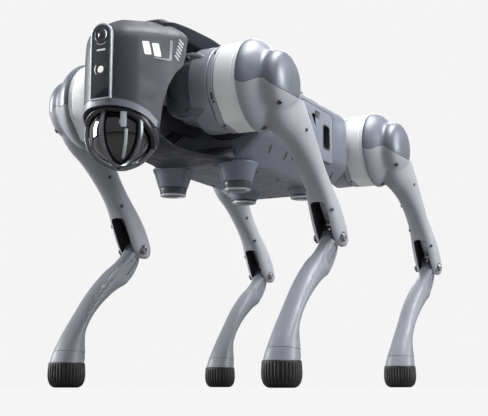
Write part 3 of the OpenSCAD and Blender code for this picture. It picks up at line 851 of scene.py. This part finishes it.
def calf_trim():
    """Lever that the rod pushes, its pin, and the calf's screws."""
    lever_angle = 105
    tip_x, tip_z = arc(KNEE.x, KNEE.z, 18, lever_angle, lever_angle, 1)[0]
    outline = arc(tip_x, tip_z, 5.8, lever_angle - 90, lever_angle + 90, 12)
    outline += arc(KNEE.x, KNEE.z, 10, lever_angle + 90, lever_angle + 270, 12)
    lever = slab("lever", outline, LEG_Y - 9.6, LEG_Y - 5.2, "dark_steel", edge=0.6)
    parts = [cut(lever, rod("bore", 5.2, -20, 20, "dark_steel", centre=KNEE_AT, steps=32))]
    parts.append(revolve("lever_pin", [(0, -9), (3, -9), (3, 4.6), (2.4, 5.1), (0, 5.1)], "steel",
                         centre=(tip_x, LEG_Y, tip_z), steps=24))
    caps = (("tongue_dot", 22, 0.5, 8.3, 1.8, 0.9), ("ankle", 196, 14, 15.6, 3.0, 1.6))
    for out in (-1, 1):
        for name, s, p, y, radius, height in caps:
            at = on_calf(s, p)
            parts.append(bolt(name, (at.x, LEG_Y + out * y, at.y), out, radius, height))
    slope = math.atan2(CALF_LINE.x, -CALF_LINE.y) + math.pi
    for s, p in ((58, -4.6), (82, 4.2), (104, 9.6), (150, 14.2), (184, -4)):
        at = on_calf(s, p)
        screw = bolt("rear_screw", (0, 0, 0), 1, 1.7, 0.8, "X")
        screw.data.transform(Matrix.Translation(put((at.x, LEG_Y, at.y))) @ Matrix.Rotation(-slope, 4, "Y"))
        parts.append(screw)
    return join("calf_fittings", parts)


FOOT_ROWS = [
    # radius, height, squareness
    [12.5, 0.0, 2.2], [15.4, 0.7, 2.3], [18.4, 3.2, 2.4], [20.4, 7.2, 2.4], [21.4, 12, 2.4], [21.6, 17, 2.4],
    [21.3, 23, 2.4], [20.8, 28, 2.4], [20.0, PAD_TOP - 0.4, 2.4], [17.5, PAD_TOP, 2.4],
]


def groove_depth(degrees, z):
    """Depth of the foot's upright grooves, which fade out at both ends and leave the rear plain."""
    low, high, deep, pitch, half = 3, 27.5, 1.3, 11, 2.6
    if not low < z < high:
        return 0.0
    fade = min(1.0, (z - low) / 3, (high - z) / 3)
    nearest = min(abs(degrees - middle) for middle in range(-110, 111, pitch))
    return fade * deep * max(0.0, 1 - (nearest / half) ** 2)


def foot():
    """Rubber block with upright grooves round its front and sides."""
    steps = 192
    rings = []
    for radius, z, power in smooth_rows(FOOT_ROWS, 3):
        ring = []
        for k in range(steps):
            a = 2 * math.pi * k / steps
            c, s = math.cos(a), math.sin(a)
            r = min(radius / (abs(c) ** power + abs(s) ** power) ** (1 / power), radius * 1.04)
            r -= groove_depth((math.degrees(a) + 180) % 360 - 180, z)
            ring.append((FOOT_X + r * c, LEG_Y + r * s, z - HIP_Z))
        rings.append(ring)
    return loft("foot", rings, "rubber", sharp=60)


def build_legs():
    """Every leg piece is built once for a left leg, then copied or mirrored."""
    thigh = thigh_shell()
    shared = [
        ("motor_ring", motor_ring(), "hip", ["thigh_motor"], "ring_white"),
        ("ring_slots", ring_marks(), "hip", [], "motor_black"),
        ("thigh_shell", thigh, "thigh", ["thigh_inner_shell", "thigh_outer_shell"], "leg_shell"),
        ("thigh_screws", thigh_trim(thigh), "thigh", [], "steel"),
        ("knee_bolts", knee_bolts(), "thigh", ["leg_fasteners"], "steel"),
        ("shoulder_cap", shoulder_cap(), "thigh", ["shoulder_cap"], "cap_slate"),
        ("calf_shell", calf_shell(), "calf", ["calf_shell"], "leg_shell"),
        ("calf_fittings", calf_trim(), "calf", [], "steel"),
        ("foot", foot(), "calf", ["foot_pad"], "foot_rubber"),
    ]
    ends = {}
    for fore in (1, -1):
        ends[fore] = [
            ("hip_elbow", hip_elbow(fore), "hip", ["hip_bracket"], "bracket_dark"),
            ("hip_band", hip_band(), "hip", [], "bracket_dark"),
            ("hip_cover", hip_cover(fore), "hip", [], "bracket_dark"),
        ]
    for leg, (fore, side) in LEGS.items():
        for name, source, body, nodes, slot_name in shared + ends[fore]:
            mesh = source.data.copy()
            if side < 0:
                mirror(mesh, y=-1)
            mesh.transform(Matrix.Translation(put((MID_X + fore * HIP_X, 0, HIP_Z))))
            obj = new_object(f"{leg}_{name}", mesh)
            finish_piece(obj, f"{leg}_{body}", [f"{leg}_{n}" for n in nodes])
        for node, mat in (("knee_crank", "dark_steel"), ("knee_rod", "steel")):
            paint(f"{leg}_{node}", mat)
    for _, source, *_ in shared + ends[1] + ends[-1]:
        remove(source)


def paint(node, material):
    """A procedural finish on a CAD node that stays in view."""
    repaint(frame["nodes"][node], material)


# ---------------------------------------------------------------- head, about the hips' middle

NOSE_R = 41.0
HOOD_Y = HEAD_Y + 3
NOSE_TOP = 395.5
HOOD_TOP = TOP_Z + 2
HOOD_REAR = 247.0
HOOD_FLAT = 262.0
# Above CROWN_BASE the levels are squeezed, so that the highest one follows the sloping crown.
CROWN_START = 256
CROWN_BASE = 345
CROWN_LEVEL = 405
CROWN_CURVE = 1.25
WALL = 3.2
HOOD_PROFILE = [
    # level, inward step
    (262, 0.0), (345, 0.0), (366, 0.8), (377, 1.8), (383, 3.6), (387, 6.2), (391, 10.4), (394.5, 15),
    (398, 20.6), (401, 26.4), (403, 31.4), (404.4, 36), (405, 39),
]


def hood_ring(level, inset=0.0):
    """Closed loop round the head at one level: nose arc, flat sides and a straight rear edge."""
    d = value_at(HOOD_PROFILE, level) + inset
    radius = max(1.5, NOSE_R - d)
    half = max(1.5, HOOD_Y - d)
    nose = HEAD_X - NOSE_R
    turn = math.degrees(math.atan2(half - radius, nose - HOOD_FLAT)) if half > radius else 0
    flat = Vector((HOOD_FLAT, half))
    cheek = arc(nose, 0, radius, 90 - turn, 0, 24)
    right = [tuple(Vector((HOOD_REAR + inset, half)).lerp(flat, k / 6)) for k in range(7)]
    right += [tuple(flat.lerp(Vector(cheek[0]), k / 9)) for k in range(1, 9)] + cheek
    ring = []
    for x, y in right + [(x, -y) for x, y in reversed(right[:-1])]:
        fore = max(0.0, min(1.0, (x - CROWN_START) / (HEAD_X - CROWN_START)))
        crown = HOOD_TOP - (HOOD_TOP - NOSE_TOP) * fore ** CROWN_CURVE
        squeeze = (crown - CROWN_BASE) / (CROWN_LEVEL - CROWN_BASE)
        ring.append((x, y, min(level, CROWN_BASE) + max(0, level - CROWN_BASE) * squeeze))
    return ring


JAW = [(HEAD_X + 2, 296), (328, 293), (308, 285), (298, 275.5), (293.5, 275.5), (290, 303), (283, 326),
       (275, 340.5), (266, 349.5), (261, 370), (250.5, 390), (249.5, 400)]


def hood():
    levels = [264, 275, 290, 305, 320, 335, 350, 362, 368, 374, 376, 378, 379.5, 381, 383.5, 386, 388.5, 391,
              393.5, 396, 398, 400, 401.5, 403, 404, 404.6, 405]
    shell = loft("hood", [hood_ring(z) for z in levels], "slate_shell", sharp=40)
    below = soften(JAW, 4) + [(235, 400), (235, 240), (HEAD_X + 2, 240)]
    cut(shell, slab("jaw_cut", below, -80, 80, "slate_shell"))
    inside = [hood_ring(z, WALL) for z in (250, 280, 320, 350, 370, 380, 390, 396)]
    return cut(shell, loft("hood_room", inside))


def hood_highlight_band():
    """Paler band that follows the hood's lower edge: a painted highlight along that edge, in the paler lit
    slate.
    """
    edge = soften(JAW[:4], 4)
    outline = edge + [(x - 1.8, z + 6.8) for x, z in reversed(edge)]
    lip = loft("hood_highlight_band", [hood_ring(z, -0.7) for z in (262, 275, 290, 305, 320)], "lip_slate", sharp=40)
    combine(lip, slab("lip_keep", outline, -80, 80, "lip_slate"), "INTERSECT")
    return cut(lip, loft("lip_room", [hood_ring(z, WALL) for z in (250, 275, 290, 305, 330)]))


def spine():
    """Top plate that runs from the head to the tail over the hips."""
    rows = [
        # x, half width below, half width above, bottom, top
        [272, 34, 40, 398, 404],
        [258, 32, 42, 398.5, 407.5],
        [242, 31, 41.5, 398.5, 410],
        [218, 30.5, 41, 398.5, 412.5],
        [190, 30.5, 40.6, 398.5, 414],
        [165, 30.5, 41, 398.5, 414.5],
        [146, 31.5, 42, 398, 412.5],
        [130, 36, 45, 395, 407],
    ]

    def section(base, half, low, top):
        right = [(base, low), (half, top - 2.6), (half - 9, top)]
        return soften(mirrored(right), 2.0, closed=True, steps=3)

    return beam("spine_front", rows, 3, section)


def crown_pad():
    """Low cover on top of the head."""
    outline = rounded_box(236, 0, 38, 52, 14)
    return slab("crown_pad", outline, 403, 414.6, "slate_shell", "Z", edge=3.4, segments=4)


def prow():
    """Tray that carries the belly shell forward under the hips to the back of the scanner."""
    rows = [
        # x, half width, bottom, top
        [126, 58, 268.3, 296],
        [140, 55, 267.3, 283],
        [160, 49, 266, 274.5],
        [185, 42.5, 264.8, 271.5],
        [208, 36.5, 264.4, 271.2],
        [228, 32, 265.4, 272.6],
        [243, 29, 268.8, 276.4],
        [254, 26.5, 274, 281.5],
    ]

    def section(half, low, top):
        right = [(half - 7, low), (half, low + 2.6), (half - 1, top - 3), (half - 7, top)]
        return soften(mirrored(right), 2.0, closed=True, steps=3)

    return beam("belly_prow", rows, 4, section, sharp=50)


def face():
    """Camera and lamp panel in the nose. Depths are counted from the panel's front."""
    eye_z = side_of("camera_lens")[1]
    light_z = side_of("headlight_lens")[1]
    low = 303.0
    half = 11.5

    def stadium(grow, drop=0.0):
        r = half + grow
        return arc(0, eye_z, r, 0, 180, 20) + [(-r, low - drop), (r, low - drop)]

    def plate(name, outline, back, front, material, edge=0.0):
        return slab(name, outline, PANEL_X + back, PANEL_X + front, material, "X", edge)

    def disc(name, profile, z, material):
        return revolve(name, profile, material, "X", (PANEL_X, 0, z), 64)

    def hoop(name, profile, z, material):
        return tube(name, soften(profile, 0.3, steps=2), material, axis="X", centre=(PANEL_X, 0, z), steps=64)

    rim = plate("face_rim", stadium(1.7, 1.2), -5, -0.3, "band_grey", 0.6)
    cut(rim, plate("rim_room", stadium(0.1, -0.6), -2.2, 2, "band_grey"))
    glass = plate("face_panel", stadium(-0.3, -0.8), -4, -0.9, "face_black", 0.5)
    smile = arc(0, eye_z, 11, 228, 312, 12) + arc(0, eye_z, 10.2, 312, 228, 12)
    eye_ring = [(5.2, -2), (8.6, -2), (8.6, -0.6), (7.6, -0.1), (5.2, -1.2)]
    eye_glass = [(0, -0.35), (2.2, -0.5), (4.2, -1.0), (5.2, -1.7), (5.2, -3), (0, -3)]
    eye = [
        hoop("eye_ring", eye_ring, eye_z, "guard_black"),
        disc("eye_glass", eye_glass, eye_z, "dark_glass"),
        plate("eye_arc", [(u * 0.85, v) for u, v in smile], -1.4, -0.75, "mark_grey"),
        plate("status_bar", rounded_box(0, 356.5, 11, 2.0, 0.9), -1.4, -0.75, "mark_white"),
    ]
    lamp_ring = [(6.3, -2), (7.8, -2), (7.8, -0.6), (7, -0.1), (6.3, -0.9)]
    lamp_glass = [(0, -0.1), (3.4, -0.4), (3.8, -0.9), (6.3, -1.2), (6.3, -3), (0, -3)]
    lamp = [
        hoop("lamp_ring", lamp_ring, light_z, "face_black"),
        disc("lamp_glass", lamp_glass, light_z, "lamp_white"),
    ]
    trunk_piece(rim)
    trunk_piece(glass, ["face_panel"])
    trunk_piece(join("camera_lens_set", eye), ["camera_lens"])
    trunk_piece(join("headlight", lamp), ["headlight_lens"])


def wrap_on_head(skin, outline, lift, depth, material, side):
    """A flat outline (x, z) laid on to the side of the hood."""
    outer, inner = [], []
    for x, z in fine(outline, 2.5):
        place, normal, *_ = skin.ray_cast(put((x, side * 120, z)), Vector((0, -side, 0)))
        outer.append((place + normal * lift * MM) / MM)
        inner.append((place - normal * depth * MM) / MM)
    return prism("mark", outer, inner, material)


def fine(outline, step):
    """The same outline with points no further apart than step."""
    out = []
    for p, q in zip(outline, outline[1:] + outline[:1]):
        a, b = Vector(p), Vector(q)
        count = max(1, int((b - a).length / step))
        out += [tuple(a.lerp(b, k / count)) for k in range(count)]
    return out


def head_marks(head):
    """Plain bars and slanted dashes on both sides of the hood, and a pale strip of painted highlight along a
    recess's lit edges; no lettering.
    """
    skin = skin_of(head)
    # Pale strip along the lower and rear slanted edges of a shallow recess that is not modelled: a painted
    # highlight where those edges catch the light.
    lit_recess_edge = [(301, 351.6), (283.4, 351.9), (279.6, 354), (277.6, 376), (280.6, 376.6), (283.2, 354.4),
            (301, 352.9)]
    parts = []
    for side in (1, -1):
        for x in (309, 297.5):
            bar = soften([(x - 5.4, 355), (x + 2.6, 354), (x + 5.2, 368), (x - 2.8, 369.4)], 1.2, closed=True)
            parts.append(wrap_on_head(skin, bar, 0.3, 0.6, "mark_white", side))
        parts.append(wrap_on_head(skin, lit_recess_edge, 0.4, 0.8, "lip_slate", side))
        for k in range(6):
            x = 273.4 - 1.35 * k
            z = 357.5 + 3.9 * k
            dash = [(x + 1.5, z + 3.4), (x + 2.9, z + 2.2), (x - 1.5, z - 3.4), (x - 2.9, z - 2.2)]
            parts.append(wrap_on_head(skin, soften(dash, 0.4, closed=True), 0.35, 0.6, "mark_grey", side))
    return join("head_marks", parts)


# ---------------------------------------------------------------- scanner, about its own axis

UPRIGHT = Matrix.Rotation(SCAN_TILT, 4, "Y")


def scan_piece(obj, nodes=(), body="trunk"):
    obj.data.transform(Matrix.Translation(put(SCAN)) @ UPRIGHT.inverted())
    return trunk_piece(obj, nodes, body)


def upright(obj, turn=0.0):
    """Stands a piece up against the scanner's tilt, after a turn in degrees about its own axis."""
    obj.data.transform(UPRIGHT @ Matrix.Rotation(math.radians(turn), 4, "Z"))
    return obj


def meridian_band(name, azimuth, inner, outer, half, start, end, material):
    """A strip on a sphere from polar angle start to end (0 is straight down)."""
    steps = 28
    rings = []
    for k in range(steps + 1):
        t = math.radians(start + (end - start) * k / steps)
        wide = half * (1 + 0.5 * max(0.0, 1 - (t / math.radians(30))))
        rings.append([(r * math.sin(t), w, -r * math.cos(t)) for r, w in (
            (inner, -wide), (inner, wide), (outer - 0.6, wide), (outer, wide - 0.7), (outer, -wide + 0.7),
            (outer - 0.6, -wide))])
    return upright(loft(name, rings, material), azimuth)


def scanner():
    cage = []
    for azimuth, reach in ((0, 122), (68, 104), (-68, 104), (126, 66), (-126, 66), (180, 54)):
        outer = 39.8 if azimuth else 38.4
        cage.append(meridian_band("rib", azimuth, 36.0, outer, 2.1, 5, reach, "guard_grey"))
    pole = soften([(0, -36.2), (5, -36), (6.4, -36.8), (6, -39), (0, -39.6)], 0.6)
    cage.append(upright(revolve("pole", pole, "guard_black", "Z", steps=48)))
    collar = soften([(35.6, -2), (39.8, -2), (41.2, 1), (41.2, 11), (39.8, 19), (35.6, 19)], 1.0, steps=3)
    cage.append(tube("collar", collar, "guard_black", axis="Z", steps=128))
    lip = soften([(39, 3), (41.9, 3.4), (41.9, 5.6), (39, 6)], 0.6, steps=2)
    cage.append(tube("collar_lip", lip, "guard_grey", axis="Z", steps=128))
    scan_piece(join("scanner_cage", cage), ["lidar_guard"])
    dome = arc(0, 0, 34, -90, 18, 27)
    dome = revolve("scanner_dome", dome + [(0, dome[-1][1])], "dark_glass", "Z", sharp=60)
    scan_piece(dome, ["lidar_dome"])
    base = soften([(0, 10), (35.4, 10), (35.4, 21), (24, 24), (0, 24)], 1.2)
    base = revolve("scanner_base", base, "motor_black", "Z")
    post = slab("sensor_post", rounded_box(0, 9, 6.4, 17, 1.4), 30, 36.2, "mark_grey", "X", edge=0.6)
    arm = meridian_band("sensor_arm", 43, 33.2, 35.6, 1.7, 32, 88, "mark_grey")
    scan_piece(join("scanner_base", [base, upright(post, 38), arm]), ["lidar_base"])
    rotor = soften([(0, -24), (12, -24), (14, -20), (14, 0), (27, 1), (27, 7), (4, 7), (4, 17), (0, 17)], 0.8)
    rotor = revolve("scanner_rotor", rotor, "steel", "Z", steps=64)
    scan_piece(rotor, ["lidar_rotor"], "lidar_rotor")


# ---------------------------------------------------------------- trunk

KEEL_Y = 58
FLANK_Z = 301


def trunk_section(inset):
    """Cross-section of the trunk as (y, z) points: keel, slanted flanks, upright sides and a low roof."""
    y, low, top = TRUNK_Y - inset, BELLY_Z + inset, TOP_Z - inset
    right = [(KEEL_Y, low), (y, FLANK_Z), (y, 372), (70, 388.5 - inset), (44, top - 1.5)]
    loop = [(0, low)] + right + [(0, top)] + [(-u, v) for u, v in reversed(right)]
    return soften(loop, 9, closed=True, steps=5)


def trunk_skin(name, material):
    """The trunk's full outline, rounded towards both ends."""
    end = [(0, 7.0), (1.5, 3.6), (4.5, 1.4), (10, 0.0)]
    rows = [(back - TRUNK_X, inset) for back, inset in end] + [(-60, 0.0), (0, 0.0), (60, 0.0)]
    rows += [(TRUNK_X - back, inset) for back, inset in reversed(end)]
    return loft(name, [[(x, y, z) for y, z in trunk_section(inset)] for x, inset in rows], material, sharp=40)


def half_space(name, low, high):
    return slab(name, [(-120, low), (120, low), (120, high), (-120, high)], -200, 200, axis="X")


def trunk():
    top = trunk_skin("top_shell", "slate_shell")
    cut(top, half_space("lower_half", 200, SEAM_Z + 0.6))
    # The lower shell takes the paler lit slate: a lit copy of the top shell's slate, painting the strong
    # light on the trunk's sides.
    belly = trunk_skin("belly_shell", "lip_slate")
    cut(belly, half_space("upper_half", SEAM_Z, 460))
    cut(belly, slab("doorway", rounded_box(*pack_side(1.6), 9), 58, 120))
    for side in (1, -1):
        for end in (1, -1):
            at = dict(axis="X", centre=(0, side * SWING_Y, HIP_Z), steps=64)
            cut(belly, rod("motor_socket", 44.5, end * 120, end * 150, **at))
    trunk_piece(top, ["top_shell"])
    trunk_piece(belly, ["belly_shell"])
    trunk_piece(spine())


def pack_side(grow=0.0):
    """The battery pack seen from the side: middle, width and height."""
    low, high = box_of("battery_pack")
    return *side_of("battery_pack"), high.x - low.x + grow, high.z - low.z + grow


def battery():
    pack_in = box_of("battery_pack")[0].y
    cx, cz, width, height = pack_side()
    outline = rounded_box(cx, cz, width, height, 8.6)
    block = slab("battery_pack", outline, pack_in, TRUNK_Y + 0.2, "battery_grey", edge=0.9, segments=3)
    handle = (cx - 29, cz - 1)
    past = TRUNK_Y + 3
    cut(block, slab("handle_room", rounded_box(*handle, 21, 31, 5), TRUNK_Y - 13, past))
    finger = soften([(cx + 6, cz + 6), (cx + 20, cz + 22), (cx + 8, cz + 24)], 3, closed=True)
    cut(block, slab("finger_room", finger, TRUNK_Y - 4, past, "motor_black"))
    latch_in, latch_out = (corner.y for corner in box_of("battery_latch"))
    latch_at = side_of("battery_latch")
    cut(block, slab("latch_room", rounded_box(*latch_at, 17, 9, 2.4), latch_in - 4, past))
    knob_in, knob_out = (corner.y for corner in box_of("power_button"))
    knob_at = side_of("power_button")
    cut(block, slab("knob_room", circle(*knob_at, 5.5, 32), knob_in - 4, past))
    rim = rounded_box(*handle, 24, 34, 6)
    rim = slab("handle_rim", rim, TRUNK_Y - 0.6, TRUNK_Y + 0.7, "motor_black", edge=0.4)
    cut(rim, slab("rim_room", rounded_box(*handle, 20.5, 30.5, 5), TRUNK_Y - 3, past))
    latch = rounded_box(*latch_at, 15.6, 7.6, 2)
    latch = slab("battery_latch_key", latch, latch_in, latch_out + 1.2, "face_black", edge=0.5)
    knob = soften([(0, knob_in), (4.8, knob_in), (4.8, knob_out + 0.8), (3.6, knob_out + 1.4),
                   (0, knob_out + 1.0)], 0.4)
    knob = revolve("power_knob", knob, "mark_grey", centre=(knob_at[0], 0, knob_at[1]), steps=48)
    trunk_piece(join("battery_pack", [block, rim]), ["battery_pack"], "battery")
    trunk_piece(latch, ["battery_latch"], "battery_latch")
    trunk_piece(knob, ["power_button"], "power_button")


def swing_motors():
    parts = []
    length = TRUNK_X + 1.6
    profile = soften([(0, 92), (42, 92), (42, 128), (43.4, 130), (43.4, length - 1.2), (42, length),
                      (20, length), (18, length - 1.5), (0, length - 1.5)], 0.7)
    for end in (1, -1):
        for side in (1, -1):
            at = dict(axis="X", centre=(0, side * SWING_Y, HIP_Z))
            parts.append(revolve("swing_motor", [(r, end * x) for r, x in profile], "motor_black", **at))
            parts.append(rod("shaft", 12, end * 130, end * (HIP_X - 39), "steel", steps=40, **at))
            for y, z in arc(side * SWING_Y, HIP_Z, 36, 22, 337, 7):
                parts.append(bolt("motor_screw", (end * length, y, z), end, 2.6, 1.0, "X", "dark_steel"))
    return join("swing_motors", parts)


def belly_pads():
    """Tapered rest pads: a grey body, a dark tip and a clear rim at the bottom."""
    parts = []
    front_bottom = box_of("belly_pads")[0].z
    for x, bottom, r_low, r_high in ((110, front_bottom, 15.5, 22.6), (-86, 256.0, 16.0, 18.6)):
        band = bottom + (BELLY_Z - bottom) * 0.30
        r_band = r_low + (r_high - r_low) * 0.30
        body = soften([(0, BELLY_Z + 2), (r_high + 3.6, BELLY_Z + 2), (r_high + 0.6, BELLY_Z - 5),
                       (r_band + 0.5, band + 0.4), (0, band + 0.4)], 1.5)
        tip = soften([(0, band), (r_band - 0.2, band), (r_low + 0.3, bottom + 1.8), (0, bottom + 1.8)], 0.8)
        rim = soften([(r_low - 3, bottom + 2), (r_low + 0.9, bottom + 2), (r_low + 0.4, bottom),
                      (r_low - 3, bottom)], 0.6, steps=2)
        for side in (1, -1):
            at = dict(axis="Z", centre=(x, side * 45, 0), steps=64)
            parts.append(revolve("pad_body", body, "pad_grey", **at))
            parts.append(revolve("pad_tip", tip, "pad_dark", **at))
            parts.append(tube("pad_rim", rim, "clear_rim", **at))
    return join("belly_pads", parts)


def shell_screws():
    parts = []
    for x in (-118, -60, 0, 60, 118):
        for side in (1, -1):
            y = side * (20 if abs(x) > 100 else 48)
            parts.append(bolt("belly_screw", (x, y, BELLY_Z + 0.3), -1, 2.8, 1.0, "Z", "dark_steel"))
    return join("shell_screws", parts)


def vents():
    """Slanted slots in the trunk's lower flanks."""
    parts = []
    slope = math.atan2(FLANK_Z - BELLY_Z, TRUNK_Y - KEEL_Y)
    turn = Matrix.Rotation(slope - math.pi, 4, "X") @ Matrix.Rotation(math.radians(38), 4, "Z")
    for side in (1, -1):
        for x in (90, 45, -104):
            plate = slab("vent", rounded_box(0, 0, 3.2, 15, 1.5), -1.5, 0.3, axis="Z")
            centre = (x, (TRUNK_Y + KEEL_Y) / 2 + 4, (FLANK_Z + BELLY_Z) / 2 + 4)
            plate.data.transform(Matrix.Translation(put(centre)) @ turn)
            if side < 0:
                mirror(plate.data, y=-1)
            parts.append(plate)
    return join("side_vents", parts)


def tail():
    low, high = box_of("rear_cover")
    back, front = low.x - MID_X, high.x - MID_X
    outline = rounded_box(0, (low.z + high.z) / 2, 2 * high.y, high.z - low.z, 8)
    plate = slab("rear_cover", outline, back, front, "slate_shell", "X", edge=1.2, segments=3)
    for z in (331.5, 339.5, 347.5):
        cut(plate, slab("grille", rounded_box(0, z, 36, 3, 1.4), back - 2, front + 2, axis="X"))
    port = rounded_box(0, 378, 26, 16, 4)
    parts = [plate, slab("port_cover", port, back - 0.9, back + 1, "motor_black", "X", edge=0.5)]
    for y in (-26, 26):
        for z in (320, 396):
            parts.append(bolt("tail_screw", (back + 0.2, y, z), -1, 2.6, 1.0, "X", "dark_steel"))
    return join("rear_cover", parts)


def spine_rear():
    """Top plate over the rear hips."""
    rows = [
        # x, half width, top, bottom
        [-254, 32, 404, 392],
        [-246, 33, 405, 393],
        [-200, 33, 405, 396],
        [-160, 33, 405, 396],
        [-138, 34, 405, 396],
        [-130, 38, 404.6, 397],
    ]

    def section(half, top, bottom):
        right = [(half - 6, bottom), (half, top - 2), (half - 10, top)]
        return soften(mirrored(right), 2.5, closed=True, steps=3)

    return beam("spine_rear", rows, 3, section)


def rails():
    low, high = box_of("payload_rails")
    parts = []
    for side in (1, -1):
        y = side * (high.y - 5)
        outline = rounded_box(0, y, high.x - low.x, 10, 4)
        rail = slab("rail", outline, low.z, high.z, "motor_black", "Z", edge=0.7)
        for x in (-80, 80):
            cut(rail, slab("hole", circle(x, y, 2.1, 24), low.z - 2, high.z + 2, "steel", "Z"))
        parts.append(rail)
    return join("payload_rails", parts)


# ---------------------------------------------------------------- stage, light and camera

def camera_ray(tree):
    """1 for what the camera sees directly, 0 for reflections and light."""
    return add(tree, "LightPath").outputs["Is Camera Ray"]


def mixed(tree, share, first, second):
    return add(tree, "MixShader", {"Fac": share, 1: first, 2: second}).outputs["Shader"]


def stage():
    """Pale floor that takes shadows and fades into the background."""
    mesh = bpy.data.meshes.new("floor")
    reach = 30.0
    corners = [(x * reach, y * reach, 0) for x, y in ((-1, -1), (1, -1), (1, 1), (-1, 1))]
    mesh.from_pydata(corners, [], [(0, 1, 2, 3)])
    mat, tree, shader = new_material("floor")
    feed(tree, shader, {"Base Color": (0.17, 0.17, 0.17, 1), "Roughness": 0.9, "Specular IOR Level": 0.0})
    glow = add(tree, "Emission", {"Color": (0.975, 0.975, 0.975, 1)}).outputs["Emission"]
    look = mixed(tree, product(tree, camera_ray(tree), 0.9), shader.outputs["BSDF"], glow)
    feed(tree, tree.nodes["Material Output"], {"Surface": look})
    mesh.materials.append(mat)
    new_object("floor", mesh)


def world():
    """Plain pale background for the camera, and a cooler and dimmer fill for everything else."""
    studio = bpy.data.worlds.new("studio")
    studio.use_nodes = True
    tree = studio.node_tree
    seen = feed(tree, tree.nodes["Background"], {"Color": (0.905, 0.905, 0.905, 1), "Strength": 1.0})
    fill = add(tree, "Background", {"Color": (0.93, 0.96, 1.0, 1), "Strength": 0.42})
    look = mixed(tree, camera_ray(tree), fill.outputs["Background"], seen.outputs["Background"])
    feed(tree, tree.nodes["World Output"], {"Surface": look})
    bpy.context.scene.world = studio


def aimed(name, data, place, look):
    """Puts a light or a camera at a place, in metres, looking along a direction."""
    obj = new_object(name, data)
    obj.location = place
    obj.rotation_mode = "QUATERNION"
    obj.rotation_quaternion = look.to_track_quat("-Z", "Y")
    return obj


def lights():
    """Soft rectangles round the robot, all aimed at its middle."""
    middle = Vector((0, 0, 0.25))
    for name, place, width, height, power in (
            ("top", (-0.1, 0.5, 2.3), 1.6, 1.0, 84),
            ("left", (-0.6, 2.6, 1.0), 1.0, 1.6, 78),
            ("right", (0.9, -2.3, 0.9), 0.8, 1.4, 90),
            ("rear", (-2.2, -0.8, 1.5), 1.0, 1.2, 30),
            ("front", (2.1, 1.4, 1.9), 0.9, 0.9, 5)):
        data = bpy.data.lights.new(name, "AREA")
        data.shape = "RECTANGLE"
        data.size = width
        data.size_y = height
        data.energy = power
        aimed(name, data, place, middle - Vector(place))


LENS_TO_WIDTH = 2.24375


def camera():
    """The photograph's viewpoint, solved in the hips' frame; the camera is low and looks slightly up."""
    data = bpy.data.cameras.new("camera")
    data.sensor_width = 36.0
    data.lens = data.sensor_width * LENS_TO_WIDTH
    data.clip_start = 0.001
    turn, rise = math.radians(27.07), math.radians(9.21)
    look = Vector((-math.cos(turn) * math.cos(rise), -math.sin(turn) * math.cos(rise), math.sin(rise)))
    bpy.context.scene.camera = aimed("camera", data, (1.273 + MID_X * MM, 0.649, 0.0025), look)


# ---------------------------------------------------------------- build

build_legs()
head = hood()
marks = head_marks(head)
trunk_piece(head, ["head_shell"])
for piece in (marks, hood_highlight_band(), crown_pad(), prow()):
    trunk_piece(piece)
face()
scanner()
trunk()
battery()
trunk_piece(swing_motors(), ["swing_motors"])
trunk_piece(belly_pads(), ["belly_pads"])
trunk_piece(shell_screws(), ["shell_screws"])
trunk_piece(vents())
trunk_piece(tail(), ["rear_cover"])
trunk_piece(spine_rear())
trunk_piece(rails(), ["payload_rails"])
paint("trunk_frame", "aluminium")
paint("main_board", "board_green")
stage()
world()
lights()
camera()
bpy.context.scene.view_settings.view_transform = "Standard"
